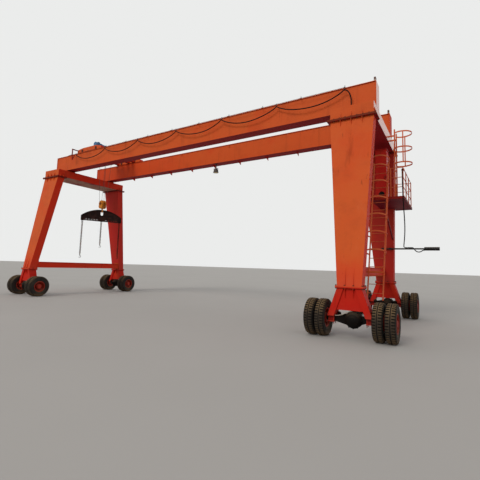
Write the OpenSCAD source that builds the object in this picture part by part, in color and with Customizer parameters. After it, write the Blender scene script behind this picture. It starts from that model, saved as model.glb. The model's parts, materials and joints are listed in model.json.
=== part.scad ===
// Rubber tyred gantry crane with two box girders, an open winch trolley and a spreader beam.
// X runs along the girders, Y along the crane's travel and Z up from the ground.

/* [Portal] */
// Distance between the centre lines of the right and left leg feet
foot_centres = 17380; // [16000:10:19000]
// Distance that a leg's centre line leans in toward the span at its top
leg_lean_in = 140; // [100:10:300]
// Width of a leg along the span at its foot
leg_foot_w = 680; // [650:10:900]
// Width of a leg along the span at its top
leg_top_w = 1360; // [1200:10:1500]
// Depth of a leg along the travel
leg_d = 380; // [300:10:450]
// Height of the leg's foot flange above the ground
foot_z = 1430; // [1350:10:1600]
// Length of a leg from flange to flange
leg_h = 5300; // [4500:10:6000]
// Distance from the middle to a leg's outer face at its top
leg_top_y = 2250; // [2100:10:2400]
// Distance from the middle to a leg's outer face at its foot
leg_foot_y = 3130; // [3000:10:3300]
// Height of the cross beam over a pair of legs
cross_h = 430; // [350:10:550]
// Height of a tie beam between two leg feet
tie_h = 320; // [250:10:400]
// Width of a tie beam
tie_w = 330; // [250:10:400]
// Rise of the left tie beam over the foot flange
left_tie_rise = 80; // [70:10:300]
// Rise of the right tie beam over the foot flange
right_tie_rise = 270; // [70:10:300]

/* [Girders] */
// Length of a girder
girder_l = 18400; // [17800:10:20000]
// Height of a girder
girder_h = 880; // [700:10:1000]
// Width of a girder over its flanges
girder_w = 500; // [420:10:560]
// Distance between the two girders' centre lines
gauge = 2770; // [2500:10:3000]
// Height of the seat between cross beam and girder
seat_h = 90; // [60:5:150]
// Height of a rail
rail_h = 50; // [40:5:80]
// Width of a rail
rail_w = 60; // [40:5:80]

/* [Plates] */
// Thickness of a bolted flange plate
flange_t = 30; // [20:1:40]
// Overhang of a bolted flange plate
flange_lip = 90; // [60:5:110]
// Clearance between two sloping faces that meet
face_gap = 0.3; // [0.2:0.1:0.5]
// Thickness of a gusset or rib
gusset_t = 14; // [10:1:20]
// Height of a gusset
gusset_h = 230; // [150:10:300]
// Thickness of a girder flange
cap_t = 18; // [12:1:30]

/* [Wheels] */
// Outer diameter of a tyre
tyre_d = 1055; // [1000:5:1100]
// Width of a tyre
tyre_w = 280; // [250:5:300]
// Gap between two tyres of a pair
dual_gap = 40; // [30:5:60]
// Width of an axle over its outer tyres
axle_w = 2460; // [2300:10:2600]
// Diameter of a wheel rim at the tyre's bead
rim_d = 508; // [500:1:520]
// Diameter of the differential housing
banjo_d = 470; // [400:10:500]
// Distance of the differential from the axle's middle
banjo_off = 90; // [0:10:150]
// Thickness of the axle beam
axle_t = 150; // [120:5:180]

/* [Access] */
// Width of a ladder between its stiles
ladder_w = 480; // [400:10:600]
// Diameter of a ladder stile
stile_d = 50; // [40:1:60]
// Diameter of a rung
rung_d = 22; // [18:1:30]
// Distance between two rungs
rung_pitch = 300; // [250:10:350]
// Height of the first ladder's foot
ladder_foot_z = 960; // [800:10:1100]
// Lean of the first ladder, in degrees
ladder_lean = 16.5; // [10:0.5:20]
// Diameter of a safety cage's hoops
cage_d = 670; // [600:10:750]
// Height of the landing's floor
landing_z = 4550; // [4300:10:4800]
// Thickness of the landing's edge
landing_t = 90; // [60:5:120]
// Reach of the landing beyond the leg's outer face at its foot
landing_reach = 760; // [500:10:850]
// Height of the landing's railing
railing_h = 1050; // [900:10:1200]
// Height of the first ladder's stiles above the railing
ladder_over = 325; // [0:5:400]
// Diameter of a railing tube
rail_tube_d = 36; // [28:1:45]

/* [Hoist] */
// Place of the trolley's middle along the span
trolley_x = -6280; // [-6280:10:-6000]
// Length of the trolley
trolley_l = 2160; // [2000:10:2300]
// Diameter of a trolley wheel
trolley_wheel_d = 220; // [200:10:260]
// Diameter of the rope drum
drum_d = 300; // [260:10:340]
// Diameter of the hoist motor
motor_d = 280; // [220:10:320]
// Height of the hook block's middle above the ground
block_z = 5420; // [4500:10:5800]
// Diameter of the hook block's sheaves
sheave_d = 400; // [320:10:450]
// Diameter of the hoist rope
rope_d = 16; // [12:1:22]
// Length of the spreader beam
spreader_l = 2280; // [2000:10:2600]
// Height of the spreader beam in its middle
spreader_h = 700; // [600:10:750]
// Height of the spreader beam at its ends
spreader_end_h = 290; // [200:10:350]
// Width of the spreader beam over its edge flanges
spreader_t = 160; // [120:5:200]
// Thickness of the spreader beam's plate
spreader_web_t = 60; // [40:2:70]
// Turn of the spreader beam from the travel direction, in degrees
spreader_turn = 25; // [10:1:60]
// Length of a lifting chain
chain_l = 2300; // [1500:10:2500]

/* [Hidden] */
$fn = 48;

orange = [0.76, 0.27, 0.10];
red = [0.62, 0.13, 0.08];
black = [0.12, 0.11, 0.11];
rubber = [0.20, 0.18, 0.16];
steel = [0.45, 0.43, 0.40];
rust = [0.22, 0.12, 0.09];
motor_blue = [0.22, 0.42, 0.60];
hook_yellow = [0.80, 0.55, 0.10];

// Heights
leg_top_z = foot_z + leg_h;
cross_top_z = leg_top_z + cross_h;
girder_z = cross_top_z + seat_h;
girder_top_z = girder_z + girder_h;
rail_top_z = girder_top_z + rail_h;
foot_x = foot_centres / 2;
top_x = foot_x - leg_lean_in;
axle_z = tyre_d / 2;
axle_y = leg_foot_y - leg_d / 2;

// Faces of a leg at a height
function share(z) = (z - foot_z) / leg_h;
function leg_out_y(z) = leg_foot_y + (leg_top_y - leg_foot_y) * share(z);
function leg_in_y(z) = leg_out_y(z) - leg_d;
function leg_mid_x(z) = foot_x - leg_lean_in * share(z);
function leg_half_w(z) = (leg_foot_w + (leg_top_w - leg_foot_w) * share(z)) / 2;
function leg_in_x(z) = leg_mid_x(z) - leg_half_w(z);
function leg_out_x(z) = leg_mid_x(z) + leg_half_w(z);

// The arm reaches beyond the right tyres, so the part is moved to stand over its middle
arm_rise = 1400;
arm_z = foot_z + arm_rise;
arm_reach = 1660;
arm_tip_x = leg_out_x(arm_z) + arm_reach;
tyre_face_x = foot_x + axle_w / 2;
stand_x = (tyre_face_x - arm_tip_x) / 2;
module stand() translate([stand_x, 0, 0]) children();

// Prisms with an outline in one plane, drawn between two places on the third axis
module xz_prism(points, y0, y1)
    translate([0, y1, 0]) rotate([90, 0, 0]) linear_extrude(y1 - y0) polygon(points);
module yz_prism(points, x0, x1)
    translate([x0, 0, 0]) rotate([90, 0, 90]) linear_extrude(x1 - x0) polygon(points);
module block(low, high) translate(low) cube(high - low);
module x_rod(d, x0, x1, y, z) translate([x0, y, z]) rotate([0, 90, 0]) cylinder(d = d, h = x1 - x0);
module y_rod(d, y0, y1, x, z) translate([x, y1, z]) rotate([90, 0, 0]) cylinder(d = d, h = y1 - y0);
module z_rod(d, z0, z1, x, y) translate([x, y, z0]) cylinder(d = d, h = z1 - z0);

// The crane's four corners: each child is drawn for the rear right one
module corner(right, front)
    mirror([right ? 0 : 1, 0, 0]) mirror([0, front ? 1 : 0, 0]) children();

// A closed tube swept along a route of points
function unit(v) = v / norm(v);
function heading(route, i) = unit(route[min(i + 1, len(route) - 1)] - route[max(i - 1, 0)]);
function across(t) = unit(cross(abs(t[2]) > 0.9 ? [1, 0, 0] : [0, 0, 1], t));
tube_sides = 8;
function tube_ring(p, t, r) = [for (k = [0 : tube_sides - 1])
    p + r * (cos(360 * k / tube_sides) * across(t) + sin(360 * k / tube_sides) * cross(t, across(t)))];
module tube(route, d) {
    n = len(route);
    rings = [for (i = [0 : n - 1]) each tube_ring(route[i], heading(route, i), d / 2)];
    sides = [for (i = [0 : n - 2], k = [0 : tube_sides - 1])
        [i * tube_sides + k, i * tube_sides + (k + 1) % tube_sides,
         (i + 1) * tube_sides + (k + 1) % tube_sides, (i + 1) * tube_sides + k]];
    polyhedron(rings, concat([[for (k = [tube_sides - 1 : -1 : 0]) k]], sides,
        [[for (k = [0 : tube_sides - 1]) (n - 1) * tube_sides + k]]));
}

// Girders
girder_web_w = girder_w - 70;
bracket_pitch = 1590;
bracket_count = 9;
bracket_drop = 130;
bracket_l = 330;
bracket_x0 = -5960;
module girder() {
    half = girder_l / 2;
    web = girder_web_w / 2;
    block([-half, -girder_w / 2, girder_z], [half, girder_w / 2, girder_z + cap_t]);
    block([-half, -girder_w / 2, girder_top_z - cap_t], [half, girder_w / 2, girder_top_z]);
    block([-half + gusset_t, -web, girder_z + cap_t], [half - gusset_t, web, girder_top_z - cap_t]);
    for (x = [-half, half - gusset_t])
        block([x, -girder_w / 2, girder_z + cap_t], [x + gusset_t, girder_w / 2, girder_top_z - cap_t]);
}
module front_girder() color(orange) stand() translate([0, -gauge / 2, 0]) girder();
module rear_girder() color(orange) stand() translate([0, gauge / 2, 0]) {
    girder();
    for (i = [0 : bracket_count - 1])
        translate([bracket_x0 + i * bracket_pitch, 0, 0]) hanger_bracket();
}
module hanger_bracket()
    yz_prism([[girder_w / 2 - bracket_l, girder_z], [girder_w / 2, girder_z - bracket_drop],
        [girder_w / 2, girder_z]], -gusset_t / 2, gusset_t / 2);

stop_l = 60;
stop_h = 230;
low_stop_h = 110;
stop_inset = 110;
module trolley_rails() color(steel) stand() for (y = [-gauge / 2, gauge / 2]) translate([0, y, 0]) {
    half = girder_l / 2 - stop_inset;
    block([-half, -rail_w / 2, girder_top_z], [half, rail_w / 2, rail_top_z]);
    block([-half - stop_l, -rail_w, girder_top_z], [-half, rail_w, girder_top_z + low_stop_h]);
    block([half, -rail_w, girder_top_z], [half + stop_l, rail_w, girder_top_z + stop_h]);
}

// Cross beams with their bolted flanges and the girders' seats
seat_w = girder_w + 60;
seat_l = 900;
seat_gusset = 120;
cross_gussets = 3;
module gusset_row(x0, x1, y, z, up, out) {
    for (i = [0 : cross_gussets - 1]) {
        x = x0 + (x1 - x0) * (i + 1) / (cross_gussets + 1);
        yz_prism([[y, z], [y + out * flange_lip * 0.85, z], [y, z + up * gusset_h]],
            x - gusset_t / 2, x + gusset_t / 2);
    }
}
module cross_beam_half() {
    x0 = top_x - leg_top_w / 2;
    x1 = top_x + leg_top_w / 2;
    in_y = leg_top_y - leg_d;
    block([x0, 0, leg_top_z + flange_t], [x1, leg_top_y, cross_top_z]);
    block([x0 - flange_lip, in_y - flange_lip, leg_top_z],
        [x1 + flange_lip, leg_top_y + flange_lip, leg_top_z + flange_t]);
    gusset_row(x0, x1, leg_top_y, leg_top_z + flange_t, 1, 1);
    for (y = [in_y + leg_d / 4, in_y + leg_d * 3 / 4]) for (side = [-1, 1])
        xz_prism([[top_x + side * leg_top_w / 2, leg_top_z + flange_t],
            [top_x + side * (leg_top_w / 2 + flange_lip * 0.85), leg_top_z + flange_t],
            [top_x + side * leg_top_w / 2, leg_top_z + flange_t + gusset_h]],
            y - gusset_t / 2, y + gusset_t / 2);
    block([top_x - seat_l / 2, gauge / 2 - seat_w / 2, cross_top_z],
        [top_x + seat_l / 2, gauge / 2 + seat_w / 2, girder_z]);
    for (x = [-1, 0, 1], side = [-1, 1]) {
        y = gauge / 2 + side * seat_w / 2;
        yz_prism([[y, cross_top_z], [y + side * seat_gusset, cross_top_z], [y, girder_z]],
            top_x + x * seat_l / 3 - gusset_t / 2, top_x + x * seat_l / 3 + gusset_t / 2);
    }
}
module cross_beam(right) for (front = [true, false]) corner(right, front) cross_beam_half();
module right_cross_beam() color(orange) stand() cross_beam(true);
module left_cross_beam() color(orange) stand() cross_beam(false);

// Legs
foot_rib_h = 560;
module leg() {
    foot_top = foot_z + flange_t;
    plate = leg_top_z - flange_t;
    intersection() {
        xz_prism([[leg_in_x(foot_z), foot_z], [leg_out_x(foot_z), foot_z],
            [leg_out_x(leg_top_z), leg_top_z], [leg_in_x(leg_top_z), leg_top_z]], 0, leg_foot_y + leg_d);
        yz_prism([[leg_in_y(foot_z), foot_z], [leg_out_y(foot_z), foot_z],
            [leg_out_y(leg_top_z), leg_top_z], [leg_in_y(leg_top_z), leg_top_z]], 0, foot_x + leg_top_w);
    }
    block([leg_in_x(leg_top_z) - flange_lip, leg_in_y(leg_top_z) - flange_lip, plate],
        [leg_out_x(leg_top_z) + flange_lip, leg_out_y(leg_top_z) + flange_lip, leg_top_z]);
    block([leg_in_x(foot_z) - flange_lip / 2, leg_in_y(foot_z) - flange_lip / 2, foot_z],
        [leg_out_x(foot_z) + flange_lip / 2, leg_out_y(foot_z) + flange_lip / 2, foot_top]);
    for (i = [1 : cross_gussets]) {
        x = leg_in_x(plate) + 2 * leg_half_w(plate) * i / (cross_gussets + 1);
        yz_prism([[leg_out_y(plate) - leg_d / 2, plate], [leg_out_y(plate) + flange_lip * 0.85, plate],
            [leg_out_y(plate - gusset_h), plate - gusset_h],
            [leg_out_y(plate) - leg_d / 2, plate - gusset_h]], x - gusset_t / 2, x + gusset_t / 2);
    }
    for (side = [-1, 1]) {
        x = foot_x + side * leg_foot_w / 6;
        yz_prism([[leg_out_y(foot_top) - leg_d / 2, foot_top],
            [leg_out_y(foot_top) + flange_lip / 2, foot_top],
            [leg_out_y(foot_top + foot_rib_h), foot_top + foot_rib_h],
            [leg_out_y(foot_top) - leg_d / 2, foot_top + foot_rib_h]], x - gusset_t / 2, x + gusset_t / 2);
    }
}
module front_right_leg() color(orange) stand() corner(true, true) leg();
module rear_right_leg() color(orange) stand() corner(true, false) leg();
module front_left_leg() color(orange) stand() corner(false, true) leg();
module rear_left_leg() color(orange) stand() corner(false, false) leg();

// Tie beams between the leg feet, with sloping bolted ends
tie_lip = 35;
tie_plate_t = 25;
function tie_end_y(z) = leg_in_y(z) - face_gap;
module tie_beam(rise) {
    z0 = foot_z + rise;
    z1 = z0 + tie_h;
    x0 = leg_in_x(foot_z);
    yz_prism([[-tie_end_y(z0), z0], [tie_end_y(z0), z0], [tie_end_y(z1), z1], [-tie_end_y(z1), z1]],
        x0, x0 + tie_w);
    block([x0 - tie_lip, -leg_in_y(z1) + flange_lip, z1 - cap_t],
        [x0 + tie_w + tie_lip, leg_in_y(z1) - flange_lip, z1]);
    for (side = [0, 1]) mirror([0, side, 0])
        yz_prism([[tie_end_y(z0 - tie_lip) - tie_plate_t, z0 - tie_lip], [tie_end_y(z0 - tie_lip), z0 - tie_lip],
            [tie_end_y(z1 + tie_lip), z1 + tie_lip], [tie_end_y(z1 + tie_lip) - tie_plate_t, z1 + tie_lip]],
            x0 - tie_lip, x0 + tie_w + tie_lip);
}
module right_tie_beam() color(orange) stand() tie_beam(right_tie_rise);
module left_tie_beam() color(orange) stand() mirror([1, 0, 0]) tie_beam(left_tie_rise);

// Bogie frames: splayed box legs and a panel over the axle, seated on it and held by U-bolts
seat_x = 524;
foot_half_w = 93;
bogie_panel_drop = 620;
bogie_panel_inset = 40;
bogie_rib_h = 300;
u_bolt_d = 24;
u_bolt_gap = 14;
clamp_t = 22;
module bogie() {
    top = foot_z - flange_t;
    low = axle_z + axle_t / 2;
    half = leg_foot_w / 2;
    y0 = axle_y - leg_d / 2;
    y1 = axle_y + leg_d / 2;
    block([foot_x - half - flange_lip / 2, y0 - flange_lip / 2, top],
        [foot_x + half + flange_lip / 2, y1 + flange_lip / 2, foot_z]);
    for (side = [-1, 1]) {
        xz_prism([[foot_x + side * half, top], [foot_x + side * (seat_x + foot_half_w), low],
            [foot_x + side * (seat_x - foot_half_w), low], [foot_x + side * (half - 2 * foot_half_w), top]],
            y0, y1);
        for (dx = [-1, 1], dy = [-1, 1])
            z_rod(u_bolt_d, axle_z - axle_t / 2 - clamp_t - u_bolt_d, low + clamp_t,
                foot_x + side * seat_x + dx * (foot_half_w - u_bolt_d),
                axle_y + dy * (axle_t / 2 + u_bolt_gap));
        block([foot_x + side * seat_x - foot_half_w, axle_y - axle_t / 2 - 2 * u_bolt_gap - u_bolt_d / 2,
            axle_z - axle_t / 2 - clamp_t], [foot_x + side * seat_x + foot_half_w,
            axle_y + axle_t / 2 + 2 * u_bolt_gap + u_bolt_d / 2, axle_z - axle_t / 2]);
    }
    panel_top = half - foot_half_w;
    panel_low = panel_top + (seat_x - panel_top) * bogie_panel_drop / (top - low);
    xz_prism([[foot_x - panel_top, top], [foot_x + panel_top, top],
        [foot_x + panel_low, top - bogie_panel_drop], [foot_x - panel_low, top - bogie_panel_drop]],
        y0 + bogie_panel_inset, y1 - bogie_panel_inset);
    for (side = [-1, 1], face = [-1, 1]) {
        x = foot_x + side * leg_foot_w / 6;
        panel_y = axle_y + face * (leg_d / 2 - bogie_panel_inset);
        yz_prism([[axle_y, top], [axle_y + face * (leg_d / 2 + flange_lip / 2), top], [panel_y, top - bogie_rib_h],
            [axle_y, top - bogie_rib_h]], x - gusset_t / 2, x + gusset_t / 2);
    }
}
module front_right_bogie() color(red) stand() corner(true, true) bogie();
module rear_right_bogie() color(red) stand() corner(true, false) bogie();
module front_left_bogie() color(red) stand() corner(false, true) bogie();
module rear_left_bogie() color(red) stand() corner(false, false) bogie();

// Axles: a beam that swells into the differential housing, with the cover on the outer side
beam_half = 640;
wing_x = seat_x - foot_half_w - 10;
axle_tube_d = 130;
cover_depth = 250;
nose_depth = 420;
hub_x = axle_w / 2 - tyre_w - dual_gap / 2;
module axle() translate([foot_x, axle_y, axle_z]) {
    half_t = axle_t / 2;
    xz_prism([[-beam_half, -half_t], [-wing_x, -half_t], [banjo_off, -banjo_d * 0.42],
        [wing_x, -half_t], [beam_half, -half_t], [beam_half, half_t],
        [wing_x, half_t], [banjo_off, banjo_d * 0.42], [-wing_x, half_t], [-beam_half, half_t]], -half_t, half_t);
    translate([banjo_off, 0, 0]) rotate([-90, 0, 0]) rotate_extrude()
        polygon([[0, -nose_depth], [60, -nose_depth], [75, -nose_depth + 60], [95, -260], [banjo_d * 0.36, -170],
            [banjo_d / 2, -110], [banjo_d / 2, 95], [banjo_d * 0.46, 150], [banjo_d * 0.34, 205],
            [banjo_d * 0.16, cover_depth - 12], [0, cover_depth]]);
    x_rod(axle_tube_d, -hub_x + hub_flange_t, hub_x - hub_flange_t, 0, 0);
}
module front_right_axle() color(black) stand() corner(true, true) axle();
module rear_right_axle() color(black) stand() corner(true, false) axle();
module front_left_axle() color(black) stand() corner(false, true) axle();
module rear_left_axle() color(black) stand() corner(false, false) axle();

// Wheels: two rims of a pair bolted back to back on a hub that turns on the axle's tube
hub_d = 260;
hub_flange_t = 40;
hub_bore_gap = 0.3;
hub_len = 250;
rim_t = 16;
rim_flange = 24;
rim_half_w = tyre_w / 2 - 40;
disc_r = 170;
module rim(x, side) {
    r = rim_d / 2;
    translate([x, 0, 0]) rotate([0, side * 90, 0]) rotate_extrude()
        polygon([[r + rim_flange, -rim_half_w], [r + rim_flange, -rim_half_w + rim_t], [r, -rim_half_w + rim_t],
            [r, rim_half_w - rim_t], [r + rim_flange, rim_half_w - rim_t], [r + rim_flange, rim_half_w],
            [r - rim_t, rim_half_w], [r - rim_t, -rim_half_w + 60], [disc_r, -tyre_w / 2 - dual_gap / 2 + rim_t],
            [hub_d / 2 - 20, -tyre_w / 2 - dual_gap / 2 + rim_t], [hub_d / 2 - 20, -tyre_w / 2 - dual_gap / 2],
            [disc_r + 5, -tyre_w / 2 - dual_gap / 2], [r - rim_t, -rim_half_w]]);
}
module hub(side) mirror([side > 0 ? 0 : 1, 0, 0]) difference() {
    union() {
        x_rod(hub_d, hub_x - hub_len, hub_x + tyre_w * 0.75, 0, 0);
        x_rod(hub_d * 0.7, hub_x, hub_x + tyre_w, 0, 0);
    }
    x_rod(axle_tube_d + 2 * hub_bore_gap, hub_x - hub_len - 1, hub_x - hub_flange_t + hub_bore_gap, 0, 0);
}
module rims() translate([foot_x, axle_y, axle_z]) for (side = [-1, 1]) {
    hub(side);
    rim(side * (hub_x + (tyre_w + dual_gap) / 2), side);
    rim(side * (hub_x - (tyre_w + dual_gap) / 2), -side);
}
module front_right_rims() color(red) stand() corner(true, true) rims();
module rear_right_rims() color(red) stand() corner(true, false) rims();
module front_left_rims() color(red) stand() corner(false, true) rims();
module rear_left_rims() color(red) stand() corner(false, false) rims();

// A tyre's section is a rounded box cut off at the bead
tyre_points = 40;
tyre_square = 0.62;
function sign_power(v, e) = sign(v) * pow(abs(v), e);
module tyre() {
    bead = rim_d / 2;
    mid = (tyre_d / 2 + bead - 30) / 2;
    half_h = tyre_d / 2 - mid;
    outline = [for (i = [0 : tyre_points - 1]) let (a = 360 * i / tyre_points)
        [mid + half_h * sign_power(cos(a), tyre_square), tyre_w / 2 * sign_power(sin(a), tyre_square)]];
    rotate([0, 90, 0]) rotate_extrude() intersection() {
        polygon(outline);
        union() {
            translate([bead, -rim_half_w + rim_t]) square([tyre_d, 2 * (rim_half_w - rim_t)]);
            translate([bead + rim_flange, -tyre_w]) square([tyre_d, 2 * tyre_w]);
        }
    }
}
module tyres() translate([foot_x, axle_y, axle_z])
    for (side = [-1, 1], off = [-1, 1]) translate([side * (hub_x + off * (tyre_w + dual_gap) / 2), 0, 0]) tyre();
module front_right_tyres() color(rubber) stand() corner(true, true) tyres();
module rear_right_tyres() color(rubber) stand() corner(true, false) tyres();
module front_left_tyres() color(rubber) stand() corner(false, true) tyres();
module rear_left_tyres() color(rubber) stand() corner(false, false) tyres();

// Access ladder beside the right tie beam, leaning back to the landing
ladder_x = foot_x + 300;
landing_y = 50;
ladder_top_z = landing_z + railing_h + ladder_over;
ladder_l = (ladder_top_z - ladder_foot_z) / cos(ladder_lean);
ladder_foot_y = landing_y - (landing_z - ladder_foot_z) * tan(ladder_lean) - stile_d;
module on_ladder() translate([ladder_x, ladder_foot_y, ladder_foot_z]) rotate([-ladder_lean, 0, 0]) children();
module ladder(length) {
    for (side = [-1, 1]) z_rod(stile_d, 0, length, side * ladder_w / 2, 0);
    for (z = [rung_pitch * 0.75 : rung_pitch : length - rung_pitch / 4])
        x_rod(rung_d, -ladder_w / 2, ladder_w / 2, 0, z);
}
right_tie_z = foot_z + right_tie_rise;
ladder_clip_h = 60;
module access_ladder() color(orange) stand() {
    on_ladder() ladder(ladder_l);
    clip_z = right_tie_z + tie_h / 2;
    clip_y = ladder_foot_y + (clip_z - ladder_foot_z) * tan(ladder_lean);
    block([leg_in_x(foot_z) + tie_w, clip_y - gusset_t / 2, clip_z - ladder_clip_h / 2],
        [ladder_x + ladder_w / 2, clip_y + gusset_t / 2, clip_z + ladder_clip_h / 2]);
    for (side = [-1, 1]) {
        x = ladder_x + side * ladder_w / 2;
        block([x - gusset_t / 2, landing_y - stile_d, landing_z - landing_t],
            [x + gusset_t / 2, landing_y, landing_z]);
    }
}

// Safety cages: hoops of flat bar with straps along them
hoop_h = 50;
hoop_t = 8;
strap_w = 40;
cage_r = cage_d / 2;
cage_mid = sqrt(cage_r * cage_r - ladder_w * ladder_w / 4);
module hoop() linear_extrude(hoop_h) difference() {
    translate([0, -cage_mid]) circle(cage_r);
    translate([0, -cage_mid]) circle(cage_r - hoop_t);
    translate([-cage_r - 1, 0]) square(2 * cage_r + 2);
    for (side = [-1, 1]) translate([side * ladder_w / 2, 0]) circle(d = stile_d);
}
module cage(first, pitch, last, straps) {
    for (z = [first : pitch : last - pitch / 4]) translate([0, 0, z]) hoop();
    translate([0, 0, last]) hoop();
    for (a = straps) translate([0, -cage_mid, first]) rotate([0, 0, a])
        translate([-strap_w / 2, -cage_r + hoop_t / 2, 0]) cube([strap_w, hoop_t, last - first + hoop_h]);
}
cage_first = 1530;
cage_pitch = 645;
cage_straps = [-80, 80];
module access_cage() color(orange) stand() on_ladder()
    cage(cage_first, cage_pitch, ladder_l - hoop_h, cage_straps);

// Upper ladder from the landing to the top of the cross beam, climbed from its outer side
upper_y = 850;
upper_gap = 200;
upper_x = top_x + leg_top_w / 2 + upper_gap;
upper_top_z = cross_top_z + 60;
module on_upper() translate([upper_x, upper_y, landing_z]) rotate([0, 0, 90]) children();
module upper_ladder() color(orange) stand() {
    on_upper() ladder(upper_top_z - landing_z);
    for (side = [-1, 1]) block([top_x + leg_top_w / 2, upper_y + side * ladder_w / 2 - gusset_t / 2,
        cross_top_z - cross_h / 2], [upper_x, upper_y + side * ladder_w / 2 + gusset_t / 2,
        cross_top_z - cross_h / 2 + ladder_clip_h]);
}
upper_first = 1340;
upper_pitch = 585;
upper_cage_drop = 110;
module upper_cage() color(orange) stand() on_upper()
    cage(upper_first, upper_pitch, upper_top_z - landing_z - hoop_h - upper_cage_drop, cage_straps);

// Landing with a notch round the rear leg, held by a pad and a brace on it
landing_x0 = foot_x - 30;
landing_x1 = leg_out_x(foot_z) + landing_reach;
landing_y1 = 2700;
leg_gap = 12;
notch_z = landing_z - landing_t;
pad_w = 60;
brace_w = 50;
brace_drop = 1260;
brace_d = 70;
module landing() color(orange) stand() {
    difference() {
        block([landing_x0, landing_y, notch_z], [landing_x1, landing_y1, landing_z]);
        block([landing_x0 - 1, leg_in_y(landing_z) - leg_gap, notch_z - 1],
            [leg_out_x(landing_z) + leg_gap, landing_y1 + 1, landing_z + 1]);
    }
    y = leg_in_y(notch_z) + leg_d / 2;
    xz_prism([[leg_out_x(notch_z) + face_gap, notch_z], [leg_out_x(landing_z) + leg_gap + 1, notch_z],
        [leg_out_x(landing_z) + leg_gap + 1, landing_z], [leg_out_x(landing_z) + face_gap, landing_z]],
        y - pad_w, y + pad_w);
    z0 = notch_z - brace_drop;
    x1 = leg_out_x(z0) - 10;
    yz_prism([[leg_in_y(z0) - face_gap, z0], [leg_in_y(z0 + brace_d) - face_gap, z0 + brace_d],
        [landing_y + 60 + 2 * brace_d, notch_z], [landing_y + 60, notch_z]], x1 - brace_w, x1);
}
fitting_d = 110;
fitting_drop = 110;
fitting_z = landing_z + railing_h - fitting_drop;
gland_d = 54;
gland_end_y = 0;
rail_bar_d = rail_tube_d - 12;
bar_seat = sqrt(pow(rail_tube_d / 2, 2) - pow(rail_bar_d / 2, 2)) - 0.4;
railing_x = landing_x1 - rail_tube_d;
railing_y0 = landing_y + rail_tube_d;
railing_y1 = landing_y1 - rail_tube_d;
railing_near_x = ladder_x + ladder_w / 2 + 120;
railing_far_x = leg_out_x(landing_z) + leg_gap + rail_tube_d;
railing_posts = concat([[railing_near_x, railing_y0], [railing_far_x, railing_y1]],
    [for (i = [0 : 3]) [railing_x, railing_y0 + (railing_y1 - railing_y0) * i / 3]]);
module landing_railing() color(orange) stand() {
    for (p = railing_posts) z_rod(rail_tube_d, landing_z, landing_z + railing_h, p[0], p[1]);
    translate([railing_x, railing_y0, fitting_z]) sphere(d = fitting_d);
    y_rod(gland_d, gland_end_y, railing_y0, railing_x, fitting_z);
    for (i = [1 : 3]) {
        z = landing_z + railing_h * i / 3 - rail_tube_d / 2;
        y_rod(rail_bar_d, railing_y0 + bar_seat, railing_y1 - bar_seat, railing_x, z);
        x_rod(rail_bar_d, railing_near_x + bar_seat, railing_x - bar_seat, railing_y0, z);
        x_rod(rail_bar_d, railing_far_x + bar_seat, railing_x - bar_seat, railing_y1, z);
    }
}

// Control cabinet on the landing
cabinet_w = 400;
cabinet_d = 480;
cabinet_headroom = 240;
cabinet_h = leg_top_z - landing_z - cabinet_headroom;
cabinet_y = 600;
cabinet_x = landing_x0 + 80;
door_t = 12;
roof_lip = 20;
module control_cabinet() color(red) stand() {
    block([cabinet_x, cabinet_y, landing_z], [cabinet_x + cabinet_w, cabinet_y + cabinet_d, landing_z + cabinet_h]);
    block([cabinet_x + roof_lip, cabinet_y - door_t, landing_z + 80],
        [cabinet_x + cabinet_w - roof_lip, cabinet_y, landing_z + cabinet_h - 60]);
    block([cabinet_x - roof_lip, cabinet_y - 2 * roof_lip, landing_z + cabinet_h],
        [cabinet_x + cabinet_w + roof_lip, cabinet_y + cabinet_d + roof_lip, landing_z + cabinet_h + roof_lip]);
}

// Cable arm clamped on the rear leg, with the guide sleeve at its end
arm_d = 60;
sleeve_d = 140;
sleeve_l = 530;
arm_tail = 380;
clamp_inset = 40;
outer_clamp_inset = 160;
arm_clamp_w = 80;
arm_y = leg_in_y(arm_z + arm_clamp_w) - arm_d / 2 - 10;
module cable_arm() color(black) stand() {
    x_rod(arm_d, leg_in_x(arm_z) + arm_tail, arm_tip_x - sleeve_l + 10, arm_y, arm_z);
    x_rod(sleeve_d, arm_tip_x - sleeve_l, arm_tip_x, arm_y, arm_z);
    low = arm_z - arm_clamp_w / 2;
    high = arm_z + arm_clamp_w / 2;
    front = arm_y - arm_d / 2 - 12;
    for (x = [leg_in_x(arm_z) + arm_tail + clamp_inset, leg_out_x(arm_z) - outer_clamp_inset])
        yz_prism([[front, low], [leg_in_y(low) - face_gap, low], [leg_in_y(high) - face_gap, high], [front, high]],
            x, x + arm_clamp_w);
}

// Supply cable from the fitting on the railing's corner down to the arm
supply_d = 36;
supply_route = [[9754, -0.3, 5490], [9754, -50, 5490], [9754, -95, 5467], [9754, -122, 5420],
    [9754, -130, 5350], [9755, -130, 5200], [9757, -128, 4980], [9760, -124, 4750], [9763, -115, 4550],
    [9765, -90, 4400], [9764, -20, 4230], [9760, 110, 4040], [9748, 320, 3840], [9725, 600, 3640],
    [9690, 930, 3450], [9645, 1270, 3290], [9595, 1620, 3155], [9545, 1950, 3042], [9505, 2220, 2955],
    [9490, 2380, 2905], [9520, 2445, 2884], [9580, 2464, 2879], [9660, 2464, 2879], [9730, 2460, 2880],
    [9805, 2427, 2871], [9855, 2411, 2822], [9897, 2407, 2760], [9952, 2407, 2715], [10022, 2413, 2699],
    [10088, 2430, 2715], [10133, 2450, 2747], [10168, 2462, 2773], [10193, 2464, 2775],
    [10211, 2464, 2775]];
module supply_cable() color(black) stand() tube(supply_route, supply_d);

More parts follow.
